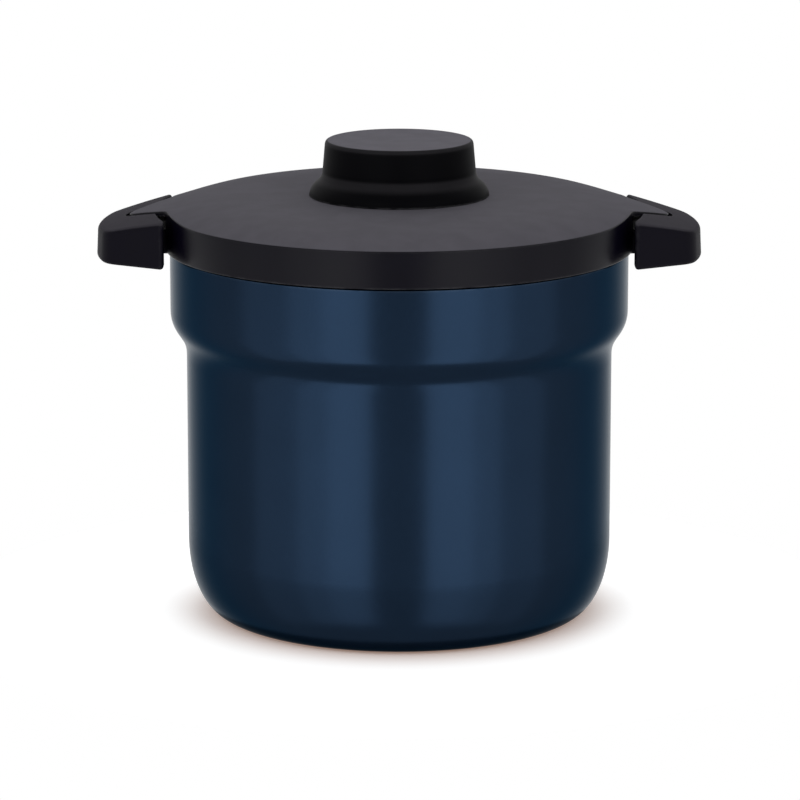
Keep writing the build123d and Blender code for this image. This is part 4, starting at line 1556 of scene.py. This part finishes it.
@dataclass
class Pot:
    """The stewing pot with its heat core and handles."""

    inner_radius: float = 0.096
    wall: float = 0.0008
    floor: float = 0.0225
    corner: float = 0.014
    rim: float = 0.1825
    rim_run: float = 0.01
    rim_radius: float = 0.1
    rim_thickness: float = 0.0018
    rim_rounding: float = 0.0008
    screw: ScrewKind = ScrewKind(0.0044, 0.0026, 0.0025, 0.0069)
    screw_seat: Point = (0.1066, 0.169)

    def profile(self) -> Row:
        """Draw the pot's cross-section, from the axis out and back.

        Returns:
            Its outline.
        """
        corner_at = (self.inner_radius - self.corner, self.floor + self.corner)
        run, under, bend = self.rim - self.rim_run, self.rim - self.rim_thickness, self.rim_rounding
        outer, around = self.inner_radius + self.wall, self.corner + self.wall
        inside = [(0.0, self.floor), *elbow(corner_at, self.corner, self.corner, steps=10)]
        rim = rounded(
            [
                (self.inner_radius, run, 0),
                (self.inner_radius, self.rim, bend),
                (self.rim_radius, self.rim, bend),
                (self.rim_radius, under, bend),
                (outer, under, 0),
                (outer, run, 0),
            ]
        )
        outside = elbow(corner_at, around, around, steps=10)[::-1]
        return held(inside + rim + outside + [(0.0, self.floor - self.wall)])

    def build(self, shop: Workshop) -> None:
        """Make the pot's pieces.

        Args:
            shop: The lathe, the screws and the finishes.
        """
        shop.turn("steel_pot", self.profile(), Body.POT, "pot_steel", "pot_body")
        shop.dress(
            pot_base_core="core_aluminium",
            pot_base_cap="pot_steel",
            right_pot_handle="pot_handle_resin",
            left_pot_handle="pot_handle_resin",
            right_pot_bracket="plate_steel",
            left_pot_bracket="plate_steel",
        )
        x, z = self.screw_seat
        seats = [((side * x, 0.0, z), (0.0, -side * math.pi / 2, 0.0)) for side in (-1, 1)]
        shop.screw(Body.POT, self.screw, seats, "pot_handle_screws")


@dataclass
class PotLid:
    """The pot's glass lid."""

    screw: ScrewKind = ScrewKind(0.0055, 0.0022, 0.0025, 0.013)
    screw_height: float = 0.1902

    def build(self, shop: Workshop) -> None:
        """Dress the glass lid's pieces and set its screw.

        Args:
            shop: The lathe, the screws and the finishes.
        """
        shop.dress(
            pot_lid_glass="lid_glass",
            pot_lid_rim="rim_steel",
            pot_lid_washer="washer_rubber",
            pot_lid_knob="pot_handle_resin",
            steam_eyelet="rim_steel",
        )
        shop.screw(Body.POT_LID, self.screw, [((0.0, 0.0, self.screw_height), UPRIGHT)], "pot_lid_screw")


# Studio


@dataclass(frozen=True)
class Lamp:
    """A soft upright or overhead lamp that faces the cooker."""

    name: str
    azimuth: float
    elevation: float
    spread: float
    height: float
    radiance: float
    distance: float = 1.7

    def build(self, target: Vector) -> None:
        """Place the lamp.

        Args:
            target: The point it faces.
        """
        turn, rise = math.radians(self.azimuth), math.radians(self.elevation)
        away = Vector((math.sin(turn) * math.cos(rise), -math.cos(turn) * math.cos(rise), math.sin(rise)))
        data = bpy.data.lights.new(self.name, "AREA")
        data.shape = "RECTANGLE"
        data.size = 2 * self.distance * math.tan(math.radians(self.spread) / 2)
        data.size_y = self.height
        data.energy = self.radiance * data.size * data.size_y * math.pi
        lamp = shown(self.name, data)
        lamp.location = target + away * self.distance
        lamp.rotation_euler = (-away).to_track_quat("-Z", "Y").to_euler()
        lamp.visible_camera = False
        LOG.info("lamp %s", self.name)


@dataclass
class Studio:
    """Pale table top, white surroundings, soft lamps and the camera at the photograph's angle."""

    camera_place: Place = (0.0, -2.2, 0.59725)
    camera_pitch: float = 12.447
    lens: float = 192.7
    sensor: float = 36.0
    shift: float = 0.001
    clip: Point = (0.05, 200.0)
    middle: Place = (0.0, 0.0, 0.1)
    table_radius: float = 0.24
    table_segments: int = 128
    table_albedo: float = 0.86
    table_polish: float = 0.65
    polish_roughness: float = 0.12
    # Painted shadow: the floor glows less, and warmer, near the cooker's base than further out
    painted_shadow_glow: Colour = (0.22, 0.13, 0.09)
    far_glow: Colour = (0.58, 0.58, 0.58)
    painted_shadow_reach: Point = (0.088, 0.128)
    mirrored_glow: Colour = (0.12, 0.12, 0.12)
    sky: float = 0.3
    lamps: tuple[Lamp, ...] = (
        Lamp("left_key", -26.0, 0.0, 23.0, 3.4, 2.1),
        Lamp("left_mid", -46.0, 0.0, 17.0, 3.4, 1.35),
        Lamp("left_fill", -68.0, 0.0, 27.0, 3.4, 0.6),
        Lamp("right_key", 26.0, 0.0, 24.0, 3.4, 2.0),
        Lamp("right_mid", 46.0, 0.0, 17.0, 3.4, 1.35),
        Lamp("right_fill", 68.0, 0.0, 27.0, 3.4, 0.55),
        Lamp("overhead", 180.0, 80.0, 30.0, 1.0, 1.9),
        Lamp("back", 180.0, 50.0, 46.0, 1.2, 1.1),
    )

    def build(self) -> None:
        """Make the world, the table top, the lamps and the camera."""
        self._world()
        self._table()
        for lamp in self.lamps:
            lamp.build(Vector(self.middle))
        data = bpy.data.cameras.new("camera")
        data.sensor_width = self.sensor
        data.lens = self.lens
        data.shift_x = self.shift
        data.clip_start, data.clip_end = self.clip
        camera = shown("camera", data)
        camera.location = self.camera_place
        camera.rotation_euler = (math.radians(90.0 - self.camera_pitch), 0.0, 0.0)
        bpy.context.scene.camera = camera
        bpy.context.scene.view_settings.view_transform = "Standard"

    @staticmethod
    def _rays(graph: Graph) -> tuple[Sock, Sock]:
        """Mark the rays from the camera, and those that metal and glass send on.

        Args:
            graph: The graph that needs them.

        Returns:
            The two masks.
        """
        path = graph.node("ShaderNodeLightPath")
        gloss, through = (graph.out(path, name) for name in ("Is Glossy Ray", "Is Transmission Ray"))
        return graph.out(path, "Is Camera Ray"), graph.math("MAXIMUM", gloss, through)

    def _world(self) -> None:
        """Make surroundings that are white to the camera, metal and glass, and light with a plain grey."""
        world = bpy.data.worlds.new("studio")
        graph = emptied(world)
        strength = graph.math("MAXIMUM", *self._rays(graph)) * (1.0 - self.sky) + self.sky
        sky = graph.node("ShaderNodeBackground", {}, {"Color": (*WHITE, 1.0), "Strength": strength})
        graph.node("ShaderNodeOutputWorld", {}, {"Surface": sky})
        bpy.context.scene.world = world

    def _table(self) -> None:
        """Make a pale round table top with the cooker's shadow, and a warm painted shadow near its base."""
        mesh = bpy.data.meshes.new("table_top")
        work = bmesh.new()
        rim = {"segments": self.table_segments, "radius": self.table_radius}
        bmesh.ops.create_circle(work, cap_ends=True, **rim)
        work.to_mesh(mesh)
        work.free()
        material = bpy.data.materials.new("pale_table")
        graph = emptied(material)
        seen, mirrored = self._rays(graph)
        pale = (self.table_albedo, self.table_albedo, self.table_albedo, 1.0)
        dull = graph.node("ShaderNodeBsdfDiffuse", {}, {"Color": pale})
        gloss = {"Color": pale, "Roughness": self.polish_roughness}
        polish = graph.node("ShaderNodeBsdfGlossy", {}, gloss)
        share = mirrored * self.table_polish
        surface = graph.node("ShaderNodeMixShader", {}, {0: share, 1: dull, 2: polish})
        place = graph.out(graph.node("ShaderNodeTexCoord"), "Object")
        radius = graph.vector("LENGTH", place, key="Value")
        # Painted shadow: the glow is lower and warmer near the base, rising to white further out
        glow_with_painted_shadow = graph.mixed(radius.over(*self.painted_shadow_reach), self.painted_shadow_glow, self.far_glow)
        colour = graph.vector("ADD", graph.scaled(glow_with_painted_shadow, seen), graph.scaled(self.mirrored_glow, mirrored))
        glow = graph.node("ShaderNodeEmission", {}, {"Color": colour, "Strength": 1.0})
        both = graph.node("ShaderNodeAddShader", {}, {0: surface, 1: glow})
        graph.node("ShaderNodeOutputMaterial", {}, {"Surface": both})
        mesh.materials.append(material)
        table = shown("table_top", mesh)


def main() -> None:
    """Build the studio and every sub-assembly."""
    logging.basicConfig(level=logging.INFO, format="%(message)s")
    Studio().build()
    shop = Workshop()
    for part in (Container(), Pot(), PotLid(), OuterLid()):
        LOG.info("building %s", type(part).__name__)
        part.build(shop)


if __name__ == "__main__":
    main()
